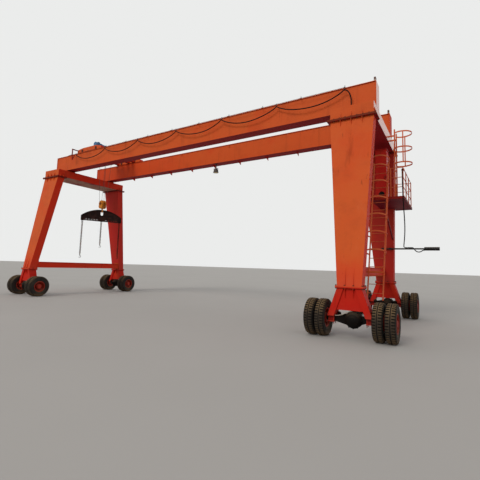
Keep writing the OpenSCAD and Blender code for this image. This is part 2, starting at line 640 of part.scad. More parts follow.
// Floodlight under the rear girder
lamp_x = 690;
lamp_d = 280;
lamp_h = 210;
lamp_drop = 260;
module floodlight() color(steel) stand() translate([lamp_x, gauge / 2 - girder_w / 4, girder_z]) {
    block([-60, -60, -20], [60, 60, 0]);
    z_rod(40, -lamp_drop, 0, 0, 0);
    translate([0, 0, -lamp_drop]) rotate([180, 0, 0]) rotate_extrude()
        polygon([[0, 0], [70, 0], [95, lamp_h * 0.35], [lamp_d / 2, lamp_h * 0.9], [lamp_d / 2, lamp_h], [0, lamp_h]]);
}

// Festoon: brackets on the front girder's top edge carry a wire, and the cable hangs below it
girder_face_y = -gauge / 2 - girder_w / 2;
wire_y = girder_face_y - 130;
bracket_foot = 60;
wire_z = girder_top_z - 60;
wire_d = 14;
bracket_d = 20;
festoon_brackets = 11;
festoon_pitch = 1600;
festoon_right = 8190;
festoon_spans = 6;
festoon_tow_gap = 310;
festoon_left = trolley_x - trolley_l / 2 + festoon_tow_gap;
hang_z = wire_z - 90;
festoon_sag = 340;
festoon_cable_d = 40;
clip_w = 30;
module festoon_line() color(black) stand() {
    left = festoon_right - (festoon_brackets - 1) * festoon_pitch;
    x_rod(wire_d, left - 40, festoon_right + 40, wire_y, wire_z);
    for (i = [0 : festoon_brackets - 1]) translate([left + i * festoon_pitch, 0, 0]) {
        yz_prism([[girder_face_y + bracket_foot, girder_top_z], [girder_face_y + bracket_foot, girder_top_z + bracket_d],
            [girder_face_y - 5, girder_top_z + bracket_d], [wire_y - bracket_d / 2, wire_z + bracket_d / 2],
            [wire_y - bracket_d / 2, wire_z - bracket_d / 2], [wire_y + bracket_d / 2, wire_z - bracket_d / 2],
            [girder_face_y, girder_top_z]], -bracket_d / 2, bracket_d / 2);
    }
    for (i = [1 : festoon_spans]) {
        x = festoon_left + (festoon_right - festoon_left) * i / festoon_spans;
        block([x - clip_w / 2, wire_y - 12, hang_z + festoon_cable_d / 2 + 0.3], [x + clip_w / 2, wire_y + 12, wire_z]);
    }
}
span_rings = 12;
function festoon_point(i) = let (u = i / span_rings, t = u - floor(u), x = festoon_left + (festoon_right - festoon_left) * u / festoon_spans)
    [x, wire_y, hang_z - 4 * festoon_sag * t * (1 - t)];
festoon_drop = [[8280, wire_y + 10, hang_z - 30], [8360, wire_y + 25, hang_z - 140], [8405, wire_y + 40, hang_z - 300],
    [8415, wire_y + 50, hang_z - 480], [8415, wire_y + 50, cross_top_z + 20]];
module festoon_cable() color(black) stand()
    tube(concat([for (i = [0 : span_rings * festoon_spans]) festoon_point(i)], festoon_drop), festoon_cable_d);

// Trolley: two side frames over the girders, joined by cross members
side_w = 260;
side_z0 = rail_top_z + 30;
side_z1 = rail_top_z + 265;
deck_z = side_z1 - 110;
member_w = 200;
member_inset = 60;
long_beam_y = 1045;
right_bay = 460;
nose_l = 500;
wheel_base = 1240;
wheel_w = 90;
wheel_slot = 110;
wheel_gap = 0.3;
drum_x = -520;
gear_x0 = -740;
gear_x1 = 260;
gear_y0 = -780;
gear_y1 = -460;
shaft_z = side_z1 + 20;
bearing_y = 480;
bearing_w = 80;
drum_shaft_d = 90;
wheel_pin_d = 60;
module on_trolley() stand() translate([trolley_x, 0, 0]) children();
module wheel_places() for (x = [-wheel_base / 2, wheel_base / 2], y = [-gauge / 2, gauge / 2])
    translate([x, y, rail_top_z + wheel_gap + trolley_wheel_d / 2]) children();
module trolley_frame() color(orange) on_trolley() difference() {
    union() {
        for (side = [-1, 1]) {
            y = side * gauge / 2;
            xz_prism([[-trolley_l / 2, side_z0], [trolley_l / 2, side_z0], [trolley_l / 2, side_z0 + 130],
                [trolley_l / 2 - nose_l, side_z1], [-trolley_l / 2 + nose_l, side_z1], [-trolley_l / 2, side_z1 - 60]],
                y - side_w / 2, y + side_w / 2);
        }
        for (x = [-trolley_l / 2 + member_inset, motor_x - member_w / 2, trolley_l / 2 - right_bay - member_w])
            block([x, -gauge / 2, side_z0 + 10], [x + member_w, gauge / 2, deck_z]);
        for (y = [-long_beam_y, gear_y0 + 40, gear_y1 - 120, bearing_y])
            block([-trolley_l / 2 + member_inset, y, side_z0 + 40], [trolley_l / 2 - right_bay, y + bearing_w, deck_z]);
        xz_prism([[drum_x - 170, deck_z - 1], [drum_x + 170, deck_z - 1], [drum_x + 80, shaft_z + 70],
            [drum_x - 80, shaft_z + 70]], bearing_y, bearing_y + bearing_w);
    }
    wheel_places() rotate([90, 0, 0]) {
        cylinder(d = trolley_wheel_d + 30, h = wheel_slot, center = true);
        cylinder(d = wheel_pin_d + 2 * wheel_gap, h = side_w + 40, center = true);
    }
    y_rod(drum_shaft_d + 2 * wheel_gap, bearing_y - 1, bearing_y + bearing_w + 1, drum_x, shaft_z);
}
module trolley_wheels() color(steel) on_trolley() wheel_places() rotate([90, 0, 0]) {
    cylinder(d = trolley_wheel_d, h = rail_w + 6, center = true);
    for (side = [-1, 1]) translate([0, 0, side * (rail_w / 2 + 3 + 8)])
        cylinder(d = trolley_wheel_d + 20, h = 14, center = true);
    cylinder(d = wheel_pin_d, h = side_w + 20, center = true);
}

drum_l = 820;
drum_y0 = gear_y1 + 30;
drum_flange_d = drum_d + 70;
module rope_drum() color(steel) on_trolley() {
    y_rod(drum_d, drum_y0 + 20, drum_y0 + 20 + drum_l, drum_x, shaft_z);
    for (y = [drum_y0, drum_y0 + 20 + drum_l]) y_rod(drum_flange_d, y, y + 20, drum_x, shaft_z);
    y_rod(drum_shaft_d, gear_y1, bearing_y + bearing_w + 20, drum_x, shaft_z);
}
module hoist_gearbox() color(motor_blue) on_trolley() {
    block([gear_x0, gear_y0, deck_z], [gear_x1, gear_y1, deck_z + 40]);
    xz_prism([[gear_x0 + 60, deck_z + 40], [gear_x1 - 40, deck_z + 40], [gear_x1 - 40, motor_z + 30],
        [gear_x1 - 110, motor_z + 90], [gear_x1 - 260, motor_z + 90], [drum_x + 200, shaft_z + 150],
        [drum_x - 90, shaft_z + 150], [gear_x0 + 60, shaft_z + 50]], gear_y0 + 20, gear_y1 - 20);
    y_rod(150, gear_y1 - 20, gear_y1, drum_x, shaft_z);
}
motor_x = 80;
motor_y0 = -1210;
motor_z = shaft_z + 215;
motor_fins = 18;
fin_t = 8;
module hoist_motor() color(motor_blue) on_trolley() {
    y_rod(motor_d - 40, motor_y0 + 90, gear_y0 + 20, motor_x, motor_z);
    y_rod(motor_d, motor_y0, motor_y0 + 90, motor_x, motor_z);
    for (i = [0 : motor_fins - 1]) translate([motor_x, 0, motor_z]) rotate([0, 360 * i / motor_fins, 0])
        block([-fin_t / 2, motor_y0 + 80, 0], [fin_t / 2, gear_y0 - 40, motor_d / 2 - fin_t]);
    block([motor_x - 110, motor_y0 + 160, deck_z], [motor_x + 110, gear_y0 - 60, motor_z - motor_d / 2 + 30]);
    block([motor_x - 60, motor_y0 + 150, motor_z + motor_d / 2 - 30], [motor_x + 60, motor_y0 + 280, motor_z + motor_d / 2 + 30]);
}

// Tow arm that leads the festoon cable along with the trolley
tow_x = -trolley_l / 2 + 40;
tow_y = wire_y - 90;
tow_z = side_z1 - 100;
tow_d = 60;
tow_low_z = hang_z - 10;
tow_loop = 260;
module tow_arm() color(orange) on_trolley() {
    y_rod(tow_d, tow_y - tow_d / 2, -gauge / 2 - side_w / 2, tow_x, tow_z);
    z_rod(tow_d, tow_low_z - 20, tow_z, tow_x, tow_y);
    xz_prism([[tow_x - 22, tow_low_z], [tow_x + 10, tow_low_z - tow_loop], [tow_x + 56, tow_low_z - tow_loop],
        [tow_x + 250, tow_low_z], [tow_x + 202, tow_low_z], [tow_x + 36, tow_low_z - tow_loop + 60],
        [tow_x + 22, tow_low_z]], tow_y - 14, tow_y + 14);
}

// Hook block, ropes, hook, spreader beam and chains
rope_x = trolley_x + drum_x;
rope_gap = 0.4;
block_w = 260;
cheek_t = 20;
cheek_d = 350;
sheave_w = 50;
sheave_y = 70;
sheave_hub_d = 120;
sheave_hub_w = 68;
web_half = 12;
groove_depth = rope_d + 2 * rope_gap;
groove_half = rope_d / 2 + 1.5;
block_pin_d = 80;
guard_d = 20;
crosshead_h = 60;
crosshead_w = 180;
crosshead_top = -sheave_d / 2 - groove_depth - 6;
fall_y = [-330, -110, 110, 330];
block_fall_y = [-sheave_y, -sheave_y, sheave_y, sheave_y];
module at_block() stand() translate([rope_x, 0, block_z]) children();
module sheave(y) {
    r = sheave_d / 2;
    rim = r + groove_depth;
    hub = sheave_hub_w / 2;
    half = [[0, hub], [sheave_hub_d / 2, hub], [sheave_hub_d / 2, web_half], [r - 40, web_half],
        [r - 30, sheave_w / 2], [rim, sheave_w / 2], [rim, sheave_w / 2 - 3], [r, groove_half]];
    translate([0, y, 0]) rotate([90, 0, 0]) rotate_extrude()
        polygon(concat(half, [for (i = [len(half) - 1 : -1 : 0]) [half[i][0], -half[i][1]]]));
}
module cheek(y) {
    low = crosshead_top - crosshead_h;
    guard_x = sheave_d * 0.4;
    translate([0, y + cheek_t / 2, 0]) rotate([90, 0, 0]) linear_extrude(cheek_t) {
        circle(d = cheek_d);
        polygon([[-cheek_d / 2 + 20, -60], [cheek_d / 2 - 20, -60], [guard_x + guard_d, -sheave_d / 2 + 10],
            [crosshead_w / 2 + 10, low], [-crosshead_w / 2 - 10, low], [-guard_x - guard_d, -sheave_d / 2 + 10]]);
    }
}
module hook_block() color(hook_yellow) at_block() {
    guard_r = sheave_d / 2 + groove_depth + guard_d / 2 + 2;
    for (side = [-1, 1]) {
        sheave(side * sheave_y);
        cheek(side * block_w / 2);
        y_rod(guard_d, -block_w / 2, block_w / 2, side * guard_r * cos(48), -guard_r * sin(48));
    }
    y_rod(block_pin_d, -block_w / 2 - 30, block_w / 2 + 30, 0, 0);
    block([-crosshead_w / 2, -block_w / 2 - cheek_t / 2 - 15, crosshead_top - crosshead_h],
        [crosshead_w / 2, block_w / 2 + cheek_t / 2 + 15, crosshead_top]);
}
module hoist_ropes() color(steel) stand() for (i = [0 : 3]) {
    side = i % 2 == 0 ? -1 : 1;
    low = [rope_x + side * (sheave_d / 2 + rope_d / 2 + rope_gap), block_fall_y[i], block_z];
    high = [rope_x + side * (drum_d / 2 + rope_d / 2 + rope_gap), fall_y[i], shaft_z];
    tube([low, (low + high) / 2, high], rope_d);
}
hook_r = 95;
hook_t = 60;
hook_arc = 265;
hook_tip = 60;
shank_d = 64;
swivel_gap = 0.3;
hook_top = crosshead_top - crosshead_h - swivel_gap;
hook_mid = hook_top - 135;
module lifting_hook() color(hook_yellow) at_block() {
    z_rod(shank_d * 1.7, hook_top - 36, hook_top, 0, 0);
    z_rod(shank_d, hook_mid + hook_r - 15, hook_top - 20, 0, 0);
    rotate([0, 0, -spreader_turn]) translate([0, 0, hook_mid]) rotate([90, 0, 0]) {
        rotate([0, 0, 90]) rotate_extrude(angle = hook_arc) translate([hook_r, 0]) circle(d = hook_t);
        rotate([0, 0, 90 + hook_arc]) translate([hook_r, -5, 0]) rotate([-90, 0, 0])
            cylinder(d1 = hook_t - 4, d2 = hook_t * 0.4, h = hook_tip);
    }
}
// The beam is a plate with an arched top, edge flanges and an eye that hangs in the hook
eye_top = hook_mid - sqrt(pow(hook_r - hook_t / 2, 2) - pow(spreader_web_t / 2, 2)) + swivel_gap;
eye_strip = 100;
eye_w = 150;
eye_h = 250;
edge_t = 24;
edge_hole_d = 50;
edge_hole_pitch = 150;
edge_holes = 5;
spreader_top = eye_top + eye_strip;
arc_rise = spreader_h - spreader_end_h;
arc_r = (spreader_l * spreader_l / 4 + arc_rise * arc_rise) / (2 * arc_rise);
module spreader_outline(inset) intersection() {
    translate([0, spreader_h - arc_r]) circle(arc_r - inset, $fn = 180);
    translate([-spreader_l / 2 + inset, inset]) square([spreader_l - 2 * inset, spreader_h]);
}
module eye_outline() translate([0, spreader_h - eye_strip - eye_w / 2]) {
    circle(d = eye_w);
    translate([-eye_w / 2, eye_w - eye_h]) square([eye_w, eye_h - eye_w]);
    translate([0, eye_w - eye_h]) circle(d = eye_w);
}
module spreader_beam() color(rust) at_block() rotate([0, 0, 90 - spreader_turn])
    translate([0, 0, spreader_top - spreader_h]) rotate([90, 0, 0]) {
        translate([0, 0, -spreader_web_t / 2]) linear_extrude(spreader_web_t) difference() {
            spreader_outline(0);
            eye_outline();
            for (side = [-1, 1], i = [1 : edge_holes])
                translate([side * (i + 0.7) * edge_hole_pitch, edge_t + edge_hole_d]) circle(d = edge_hole_d);
        }
        translate([0, 0, -spreader_t / 2]) linear_extrude(spreader_t) difference() {
            spreader_outline(0);
            spreader_outline(edge_t);
            translate([-eye_w, spreader_h / 2]) square([2 * eye_w, spreader_h]);
        }
    }
chain_w = 90;
chain_x = [-spreader_l / 2 + 90, 0, spreader_l / 2 - 90];
chain_len = [chain_l, chain_l * 0.7, chain_l];
module lifting_chains() color(rust) at_block() rotate([0, 0, 90 - spreader_turn]) for (i = [0 : 2])
    block([chain_x[i] - chain_w / 2, -chain_w / 2, spreader_top - spreader_h - chain_len[i]],
        [chain_x[i] + chain_w / 2, chain_w / 2, spreader_top - spreader_h]);

front_girder();
rear_girder();
trolley_rails();
right_cross_beam();
left_cross_beam();
front_right_leg();
rear_right_leg();
front_left_leg();
rear_left_leg();
right_tie_beam();
left_tie_beam();
front_right_bogie();
rear_right_bogie();
front_left_bogie();
rear_left_bogie();
front_right_axle();
rear_right_axle();
front_left_axle();
rear_left_axle();
front_right_rims();
rear_right_rims();
front_left_rims();
rear_left_rims();
front_right_tyres();
rear_right_tyres();
front_left_tyres();
rear_left_tyres();
access_ladder();
access_cage();
upper_ladder();
upper_cage();
landing();
landing_railing();
control_cabinet();
cable_arm();
supply_cable();
floodlight();
festoon_line();
festoon_cable();
trolley_frame();
trolley_wheels();
rope_drum();
hoist_gearbox();
hoist_motor();
tow_arm();
hoist_ropes();
hook_block();
lifting_hook();
spreader_beam();
lifting_chains();
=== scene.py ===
"""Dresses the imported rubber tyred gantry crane: paint, tyres, bolts, ropes, chains and cables, and the stage."""
import json
import math

import bmesh
import bpy
from bpy.props import FloatProperty, FloatVectorProperty, IntProperty, PointerProperty
from mathutils import Matrix, Vector


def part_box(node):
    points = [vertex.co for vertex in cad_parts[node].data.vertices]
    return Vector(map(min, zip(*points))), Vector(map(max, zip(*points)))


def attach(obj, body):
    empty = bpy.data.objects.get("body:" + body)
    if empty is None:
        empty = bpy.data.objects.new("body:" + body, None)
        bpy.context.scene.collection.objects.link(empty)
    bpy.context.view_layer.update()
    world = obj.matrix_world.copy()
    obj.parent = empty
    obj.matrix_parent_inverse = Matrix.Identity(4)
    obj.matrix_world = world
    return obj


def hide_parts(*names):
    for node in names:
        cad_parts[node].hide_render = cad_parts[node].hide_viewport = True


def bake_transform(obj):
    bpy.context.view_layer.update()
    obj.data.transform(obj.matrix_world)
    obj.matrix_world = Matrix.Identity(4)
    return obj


bl_info = {
    "name": "Rubber Tyred Gantry Crane",
    "version": (1, 0, 0),
    "blender": (4, 5, 0),
    "location": "View3D > Sidebar > Crane",
    "description": "Dresses a packed gantry crane with paint, tyres, fasteners, ropes, chains and cables",
    "category": "Object",
}

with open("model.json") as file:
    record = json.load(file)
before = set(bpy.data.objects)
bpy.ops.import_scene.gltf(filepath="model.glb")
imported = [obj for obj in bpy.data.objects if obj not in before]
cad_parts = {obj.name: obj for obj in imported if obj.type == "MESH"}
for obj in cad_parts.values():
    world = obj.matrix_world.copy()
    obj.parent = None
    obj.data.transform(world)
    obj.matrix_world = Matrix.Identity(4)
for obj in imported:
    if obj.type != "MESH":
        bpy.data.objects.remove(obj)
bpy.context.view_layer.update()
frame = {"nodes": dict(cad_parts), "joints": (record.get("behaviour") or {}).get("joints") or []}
JOINTS = {joint["name"]: joint for joint in frame["joints"]}
CORNERS = ("front_right", "rear_right", "front_left", "rear_left")
MM = 0.001
UP = Vector((0, 0, 1))
TWO_PI = 2 * math.pi

MATERIALS = {}

# The middle between the legs along X, and the height where the cross beams stand on the legs
STAND_X = (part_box("right_tie_beam")[0].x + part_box("left_tie_beam")[1].x) / 2
BEAM_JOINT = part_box("front_right_leg")[1].z

# A tyre's outline from its bead to its middle: (share of its radius, share of its width from the middle)
TYRE_OUTLINE = ((0.500, 0.33), (0.530, 0.36), (0.575, 0.425), (0.66, 0.478), (0.76, 0.500), (0.86, 0.490),
                (0.925, 0.468), (0.965, 0.430), (0.988, 0.360), (0.997, 0.230), (1.000, 0.110), (1.000, 0.055),
                (0.966, 0.045), (0.966, 0.0))
# Where the cross grooves start: share of the width from the middle, and share of the radius
LUG_FROM, TREAD_FROM = 0.12, 0.90

# Diameters of the bolt circles on the wheels' discs, the axles' covers and the pinions' flanges
NUT_RING, COVER_RING, PINION_RING = 0.300, 0.452, 0.410
HOUSING_X, SEAT_X, U_BOLT_X, U_BOLT_Y = 0.090, 0.524, 0.069, 0.089
U_BOLTS = [Vector((side * SEAT_X + dx, dy, 0)) for side in (-1, 1) for dx in (-U_BOLT_X, U_BOLT_X)
           for dy in (-U_BOLT_Y, U_BOLT_Y)]
BRAKE_POT = ((0, 0), (0.055, 0.004), (0.078, 0.028), (0.084, 0.052), (0.084, 0.062), (0.074, 0.09),
             (0.052, 0.118), (0.024, 0.125), (0, 0.125))

FLANGE_T, FOOT_INSET, TOP_INSET, TIE_PLATE = 0.030, 0.0225, 0.036, 0.025
GIRDER_H, FLANGE_MIDDLE, LUGS_X = 0.880, 0.018, (-1.66, 1.56)
RAIL_Y, CLIP_Y, CLIPS = 1.385, 0.052, 30
ROPE_LAY, ROPE_STRANDS, DRUM_PITCH, DRUM_R = 0.12, 6, 0.0175, 0.150
WOUND_FROM, WOUND_TO = 0.398, 0.058
SHACKLE_H, CHAIN_HOOK_H = 0.105, 0.20

# The supply cable's route in mm, with X from the middle between the legs, and the places that are tied
SUPPLY_ROUTE = ((9754, -0.3, 5490), (9754, -50, 5490), (9754, -95, 5467), (9754, -122, 5420), (9754, -130, 5350),
                (9755, -130, 5200), (9757, -128, 4980), (9760, -124, 4750), (9763, -115, 4550), (9765, -90, 4400),
                (9764, -20, 4230), (9760, 110, 4040), (9748, 320, 3840), (9725, 600, 3640), (9690, 930, 3450),
                (9645, 1270, 3290), (9595, 1620, 3155), (9545, 1950, 3042), (9505, 2220, 2955), (9490, 2380, 2905),
                (9520, 2445, 2884), (9580, 2464, 2879), (9660, 2464, 2879), (9730, 2460, 2880), (9805, 2427, 2871),
                (9855, 2411, 2822), (9897, 2407, 2760), (9952, 2407, 2715), (10022, 2413, 2699),
                (10088, 2430, 2715), (10133, 2450, 2747), (10168, 2462, 2773), (10193, 2464, 2775),
                (10211, 2464, 2775))
SUPPLY_TIES = (4, 6, 8, 21, 23)
SUPPLY_D, FESTOON_D = 0.036, 0.040

# The festoon's ends along X from the middle between the legs, its loops, its wire and the wire's brackets
FESTOON_RIGHT, FESTOON_LEFT, FESTOON_SPANS, FESTOON_SAG = 8.19, -7.05, 6, 0.34
WIRE_Y, WIRE_Z, HANG_Z, CROSS_TOP_Z = -1.765, 8.07, 7.98, 7.16
BRACKETS, BRACKET_PITCH = 11, 1.6


def linear(red, green, blue):
    """A colour given as 0 to 255 on screen, as the numbers that a shader takes."""
    def one(v):
        v /= 255
        return v / 12.92 if v <= 0.04045 else ((v + 0.055) / 1.055) ** 2.4
    return (one(red), one(green), one(blue), 1.0)


def colour(name, text, red, green, blue):
    return FloatVectorProperty(name=name, description=text, subtype="COLOR", size=4, min=0, max=1,
                               default=linear(red, green, blue))


def length(name, text, default):
    return FloatProperty(name=name, description=text, unit="LENGTH", default=default, min=0, precision=4)


def angle(name, text, degrees):
    return FloatProperty(name=name, description=text, subtype="ANGLE", default=math.radians(degrees))


class CraneFinish(bpy.types.PropertyGroup):
    """The crane's colours."""
    # Painted light and shade: the faded orange stands for faces that are both sun-faded and lit, the fresh red for
    # faces that are both less faded and in shade; the part pairs below follow the same split.
    bleached_and_lit: colour("Bleached orange", "Paint on the faces that the sun has faded", 206, 92, 38)
    fresh_and_shaded: colour("Fresh orange", "Paint on the faces that stay in shade", 212, 50, 26)
    # Painted shade: this dark red is laid on faces that look down, so the undersides are darker.
    shaded: colour("Shaded red", "Paint under the beams, where no sun reaches", 118, 15, 36)
    blotch: colour("Blotch", "Brown blotches in the shaded paint", 176, 62, 34)
    patch: colour("Patch", "Patches of the flat faces that have faded less", 206, 66, 24)
    cloud: colour("Cloud", "Dull clouds on the flat faces", 158, 62, 30)
    chalk: colour("Chalk", "Chalking on the flat faces", 216, 126, 78)
    scuff: colour("Scuff", "Worn spots on upright faces", 122, 48, 30)
    # Painted highlight: a pale painted sheen on faces that look along +X, standing for the sky's reflection on them.
    painted_sheen: colour("Sheen", "Pale glaze on the faces along +X", 226, 150, 112)
    # Partly painted shadow: the dark band where the cross beams stand on the legs is partly dark flange edges and
    # partly the shadow under the flange.
    seam: colour("Seam", "Dark joint between the cross beams and the legs", 66, 18, 16)
    # Paler patches laid on a beam's underside.
    pale_underside: colour("Caked dust", "Dust that sticks under a beam", 176, 140, 118)
    bogie: colour("Bogie red", "Paint of the bogie frames", 190, 28, 18)
    bogie_face: colour("Bogie face", "The bogie frames' faded paint", 192, 36, 20)
    # The rear legs' reds are partly painted shade, darker for the front legs' shadow on their front faces.
    rear_leg: colour("Rear leg", "Paint of the rear legs", 196, 46, 38)
    rear_leg_face: colour("Rear leg face", "The rear legs' faded paint", 174, 46, 36)
    # The deep red is partly painted shade: it darkens the landing's underside and the tow arm to the shade they
    # stand in; on the axle seats it is their dark red paint.
    landing: colour("Deep red", "Paint of the landing and the tow arm", 94, 13, 13)
    landing_face: colour("Deep red face", "The landing's faded paint", 144, 30, 24)
    cabinet: colour("Cabinet red", "Paint of the cabinet", 200, 42, 40)
    cabinet_face: colour("Cabinet face", "The cabinet's faded paint", 214, 44, 36)
    thin: colour("Weathered orange", "Paint of the cages, ladders and railings", 200, 72, 42)
    thin_face: colour("Bleached bars", "The cages' faded paint", 218, 112, 66)
    dust: colour("Dust", "Dry yard dust", 150, 128, 100)
    soot: colour("Soot", "Dark grime", 40, 28, 24)
    rust: colour("Rust", "Rust that comes through", 92, 40, 20)
    scale: colour("Rust scale", "Bright spots in old rust", 132, 66, 30)
    beam_light: colour("Beam rust", "The spreader beam's lighter rust", 62, 38, 32)
    beam_dark: colour("Beam dark", "The spreader beam's darker rust", 36, 24, 22)
    chain_light: colour("Chain rust", "The chains' lighter rust", 98, 50, 28)
    chain_dark: colour("Chain dark", "The chains' darker rust", 36, 22, 17)
    rubber: colour("Rubber", "Clean tyre rubber", 34, 31, 29)
    aged: colour("Aged rubber", "Brown patches on the rubber", 62, 52, 42)
    tread: colour("Tread dust", "Dust on the treads", 104, 84, 60)
    settled: colour("Settled dust", "Dust that lies on the tyres' tops", 138, 110, 72)
    mud: colour("Mud", "Dry mud low on the tyres", 122, 96, 66)
    # Painted shade: the dark colour laid in the tread's grooves.
    groove: colour("Groove", "The treads' dark grooves", 13, 11, 10)
    rim: colour("Rim paint", "Paint of the wheels", 158, 44, 26)
    axle: colour("Axle black", "Paint of the axles", 19, 16, 14)
    pipe: colour("Pipe grey", "The brake pipes", 176, 166, 150)
    steel: colour("Steel", "Bright worn steel", 128, 122, 114)
    bolt: colour("Bolt steel", "Bolts and clips", 66, 52, 46)
    rope: colour("Rope steel", "The hoist rope", 96, 92, 86)
    motor: colour("Motor blue", "Paint of the hoist's motor and gearbox", 66, 112, 150)
    hook: colour("Hook yellow", "Paint of the hook block", 212, 128, 18)
    cable: colour("Cable black", "Sheath of the cables", 21, 20, 20)
    cable_dust: colour("Cable dust", "Dust on the cables", 58, 50, 44)
    lamp: colour("Lamp grey", "Housing of the floodlight", 72, 66, 62)
    glass: colour("Lens", "The floodlight's lens", 240, 218, 140)
    glass_dark: colour("Lens grain", "Darker grain in the lens", 214, 182, 96)
    ground: colour("Ground", "The floor", 176, 171, 164)
    ground_dark: colour("Dark ground", "Darker places of the floor", 166, 161, 154)
    sky_light: colour("Sky light", "Light that falls from the sky", 238, 242, 248)
    sky_seen: colour("Sky seen", "The sky in the picture and in reflections", 235, 236, 235)


class CraneSizes(bpy.types.PropertyGroup):
    """Sizes of the pieces that are added to the frame."""
    tyre_width: length("Tyre width", "Width of one tyre", 0.280)
    dual_gap: length("Dual gap", "Gap between the two tyres of a pair", 0.040)
    tread_depth: length("Tread depth", "Depth of the grooves in a tyre", 0.027)
    tread_pitches: IntProperty(name="Tread pitches", description="Blocks round a tyre", default=42,
                               min=20, max=80)
    link_pitch: length("Link pitch", "Distance from one chain link to the next", 0.080)
    link_wire: length("Link wire", "Diameter of a chain link's wire", 0.026)
    rope: length("Rope", "Diameter of the hoist rope", 0.016)
    bolt: length("Bolt", "Width of a flange bolt's head over its flats", 0.036)


class CraneStage(bpy.types.PropertyGroup):
    """Camera and light."""
    eye: FloatVectorProperty(name="Eye", description="Place of the camera from the middle between the legs",
                             subtype="TRANSLATION", unit="LENGTH", default=(11.1931, -12.9501, 1.9116))
    heading: angle("Heading", "Turn to the left of the travel direction", 32.0365)
    tilt: angle("Tilt", "Rise of the line of sight", 5.8716)
    roll: angle("Roll", "Turn of the picture", 1.7663)
    focal: FloatProperty(name="Focal length", description="Focal length on a sensor 36 mm wide", default=25.68)
    shift: FloatProperty(name="Shift", description="Rise of the picture's middle", default=-0.01842)
    sky: FloatProperty(name="Sky", description="Strength of the sky's light", default=0.74, min=0)
    sun: FloatProperty(name="Sun", description="Strength of the soft sun", default=1.15, min=0)


class Wire:
    """A value in a material's node tree. Sums and products of wires add Math nodes."""

    def __init__(self, paint, socket):
        self.paint = paint
        self.socket = socket

    def _math(self, operation, first, second):
        return self.paint.node("Math", {"operation": operation}, {0: first, 1: second})

    def __add__(self, other):
        return self._math("ADD", self, other)

    def __radd__(self, other):
        return self._math("ADD", other, self)

    def __sub__(self, other):
        return self._math("SUBTRACT", self, other)

    def __rsub__(self, other):
        return self._math("SUBTRACT", other, self)

    def __mul__(self, other):
        return self._math("MULTIPLY", self, other)

    def __rmul__(self, other):
        return self._math("MULTIPLY", other, self)

    def clamp(self, low, high):
        """0 below low, 1 above high and smooth between."""
        return self.paint.node("MapRange", {"interpolation_type": "SMOOTHSTEP"},
                               {"Value": self, "From Min": low, "From Max": high})


class Paint:
    """A material that is written as expressions: a first colour, and others that are laid over it."""

    def __init__(self, name, tint):
        self.name = name
        self.base = tuple(tint)
        self.material = bpy.data.materials.new(name)
        self.material.use_nodes = True
        self.tree = self.material.node_tree
        self.tree.nodes.clear()
        self.place = self.node("TexCoord", output="Object")

    def node(self, kind, settings=None, inputs=None, output=0):
        made = self.tree.nodes.new("ShaderNode" + kind)
        for key, value in (settings or {}).items():
            setattr(made, key, value)
        for key, value in (inputs or {}).items():
            if isinstance(value, Wire):
                self.tree.links.new(value.socket, made.inputs[key])
            else:
                made.inputs[key].default_value = value
        return Wire(self, made.outputs[output])

    def noise(self, scale, detail=3.0, roughness=0.55, stretch=(1, 1, 1), shift=(0, 0, 0)):
        at = self.node("Mapping", inputs={"Vector": self.place, "Scale": stretch, "Location": shift})
        return self.node("TexNoise", inputs={"Vector": at, "Scale": scale, "Detail": detail,
                                             "Roughness": roughness})

    def from_line(self, y, z):
        """The distance from either of two lines along X, at y and -y, both at the height z."""
        aside = self.node("Math", {"operation": "ABSOLUTE"}, {0: self.along(1)}) - y
        above = self.along(2) - z
        return self.node("Math", {"operation": "SQRT"}, {0: aside * aside + above * above})

    def along(self, axis):
        return self.node("SeparateXYZ", inputs={0: self.place}, output=axis)

    def facing(self, axis):
        """How far a face looks along X, Y or Z, from -1 to 1."""
        normal = self.node("TexCoord", output="Normal")
        return self.node("SeparateXYZ", inputs={0: normal}, output=axis)

    def lay(self, tint, share):
        """Covers a share of what is there so far with a colour."""
        self.base = self.node("Mix", {"data_type": "RGBA"}, {0: share, 6: self.base, 7: tuple(tint)}, output=2)

    def bump(self, height, strength, distance):
        return self.node("Bump", inputs={"Height": height, "Strength": strength, "Distance": distance})

    def surface(self, roughness, metallic=0.0, normal=None, coat=0.0, shine=0.25):
        inputs = {"Base Color": self.base, "Roughness": roughness, "Metallic": metallic, "Coat Weight": coat,
                  "Coat Roughness": 0.12, "Specular IOR Level": shine}
        if normal is not None:
            inputs["Normal"] = normal
        shader = self.node("BsdfPrincipled", inputs=inputs)
        end = self.tree.nodes.new("ShaderNodeOutputMaterial")
        self.tree.links.new(shader.socket, end.inputs["Surface"])
        MATERIALS[self.name] = self.material


def finish():
    return bpy.context.scene.crane_finish


def sizes():
    return bpy.context.scene.crane_sizes


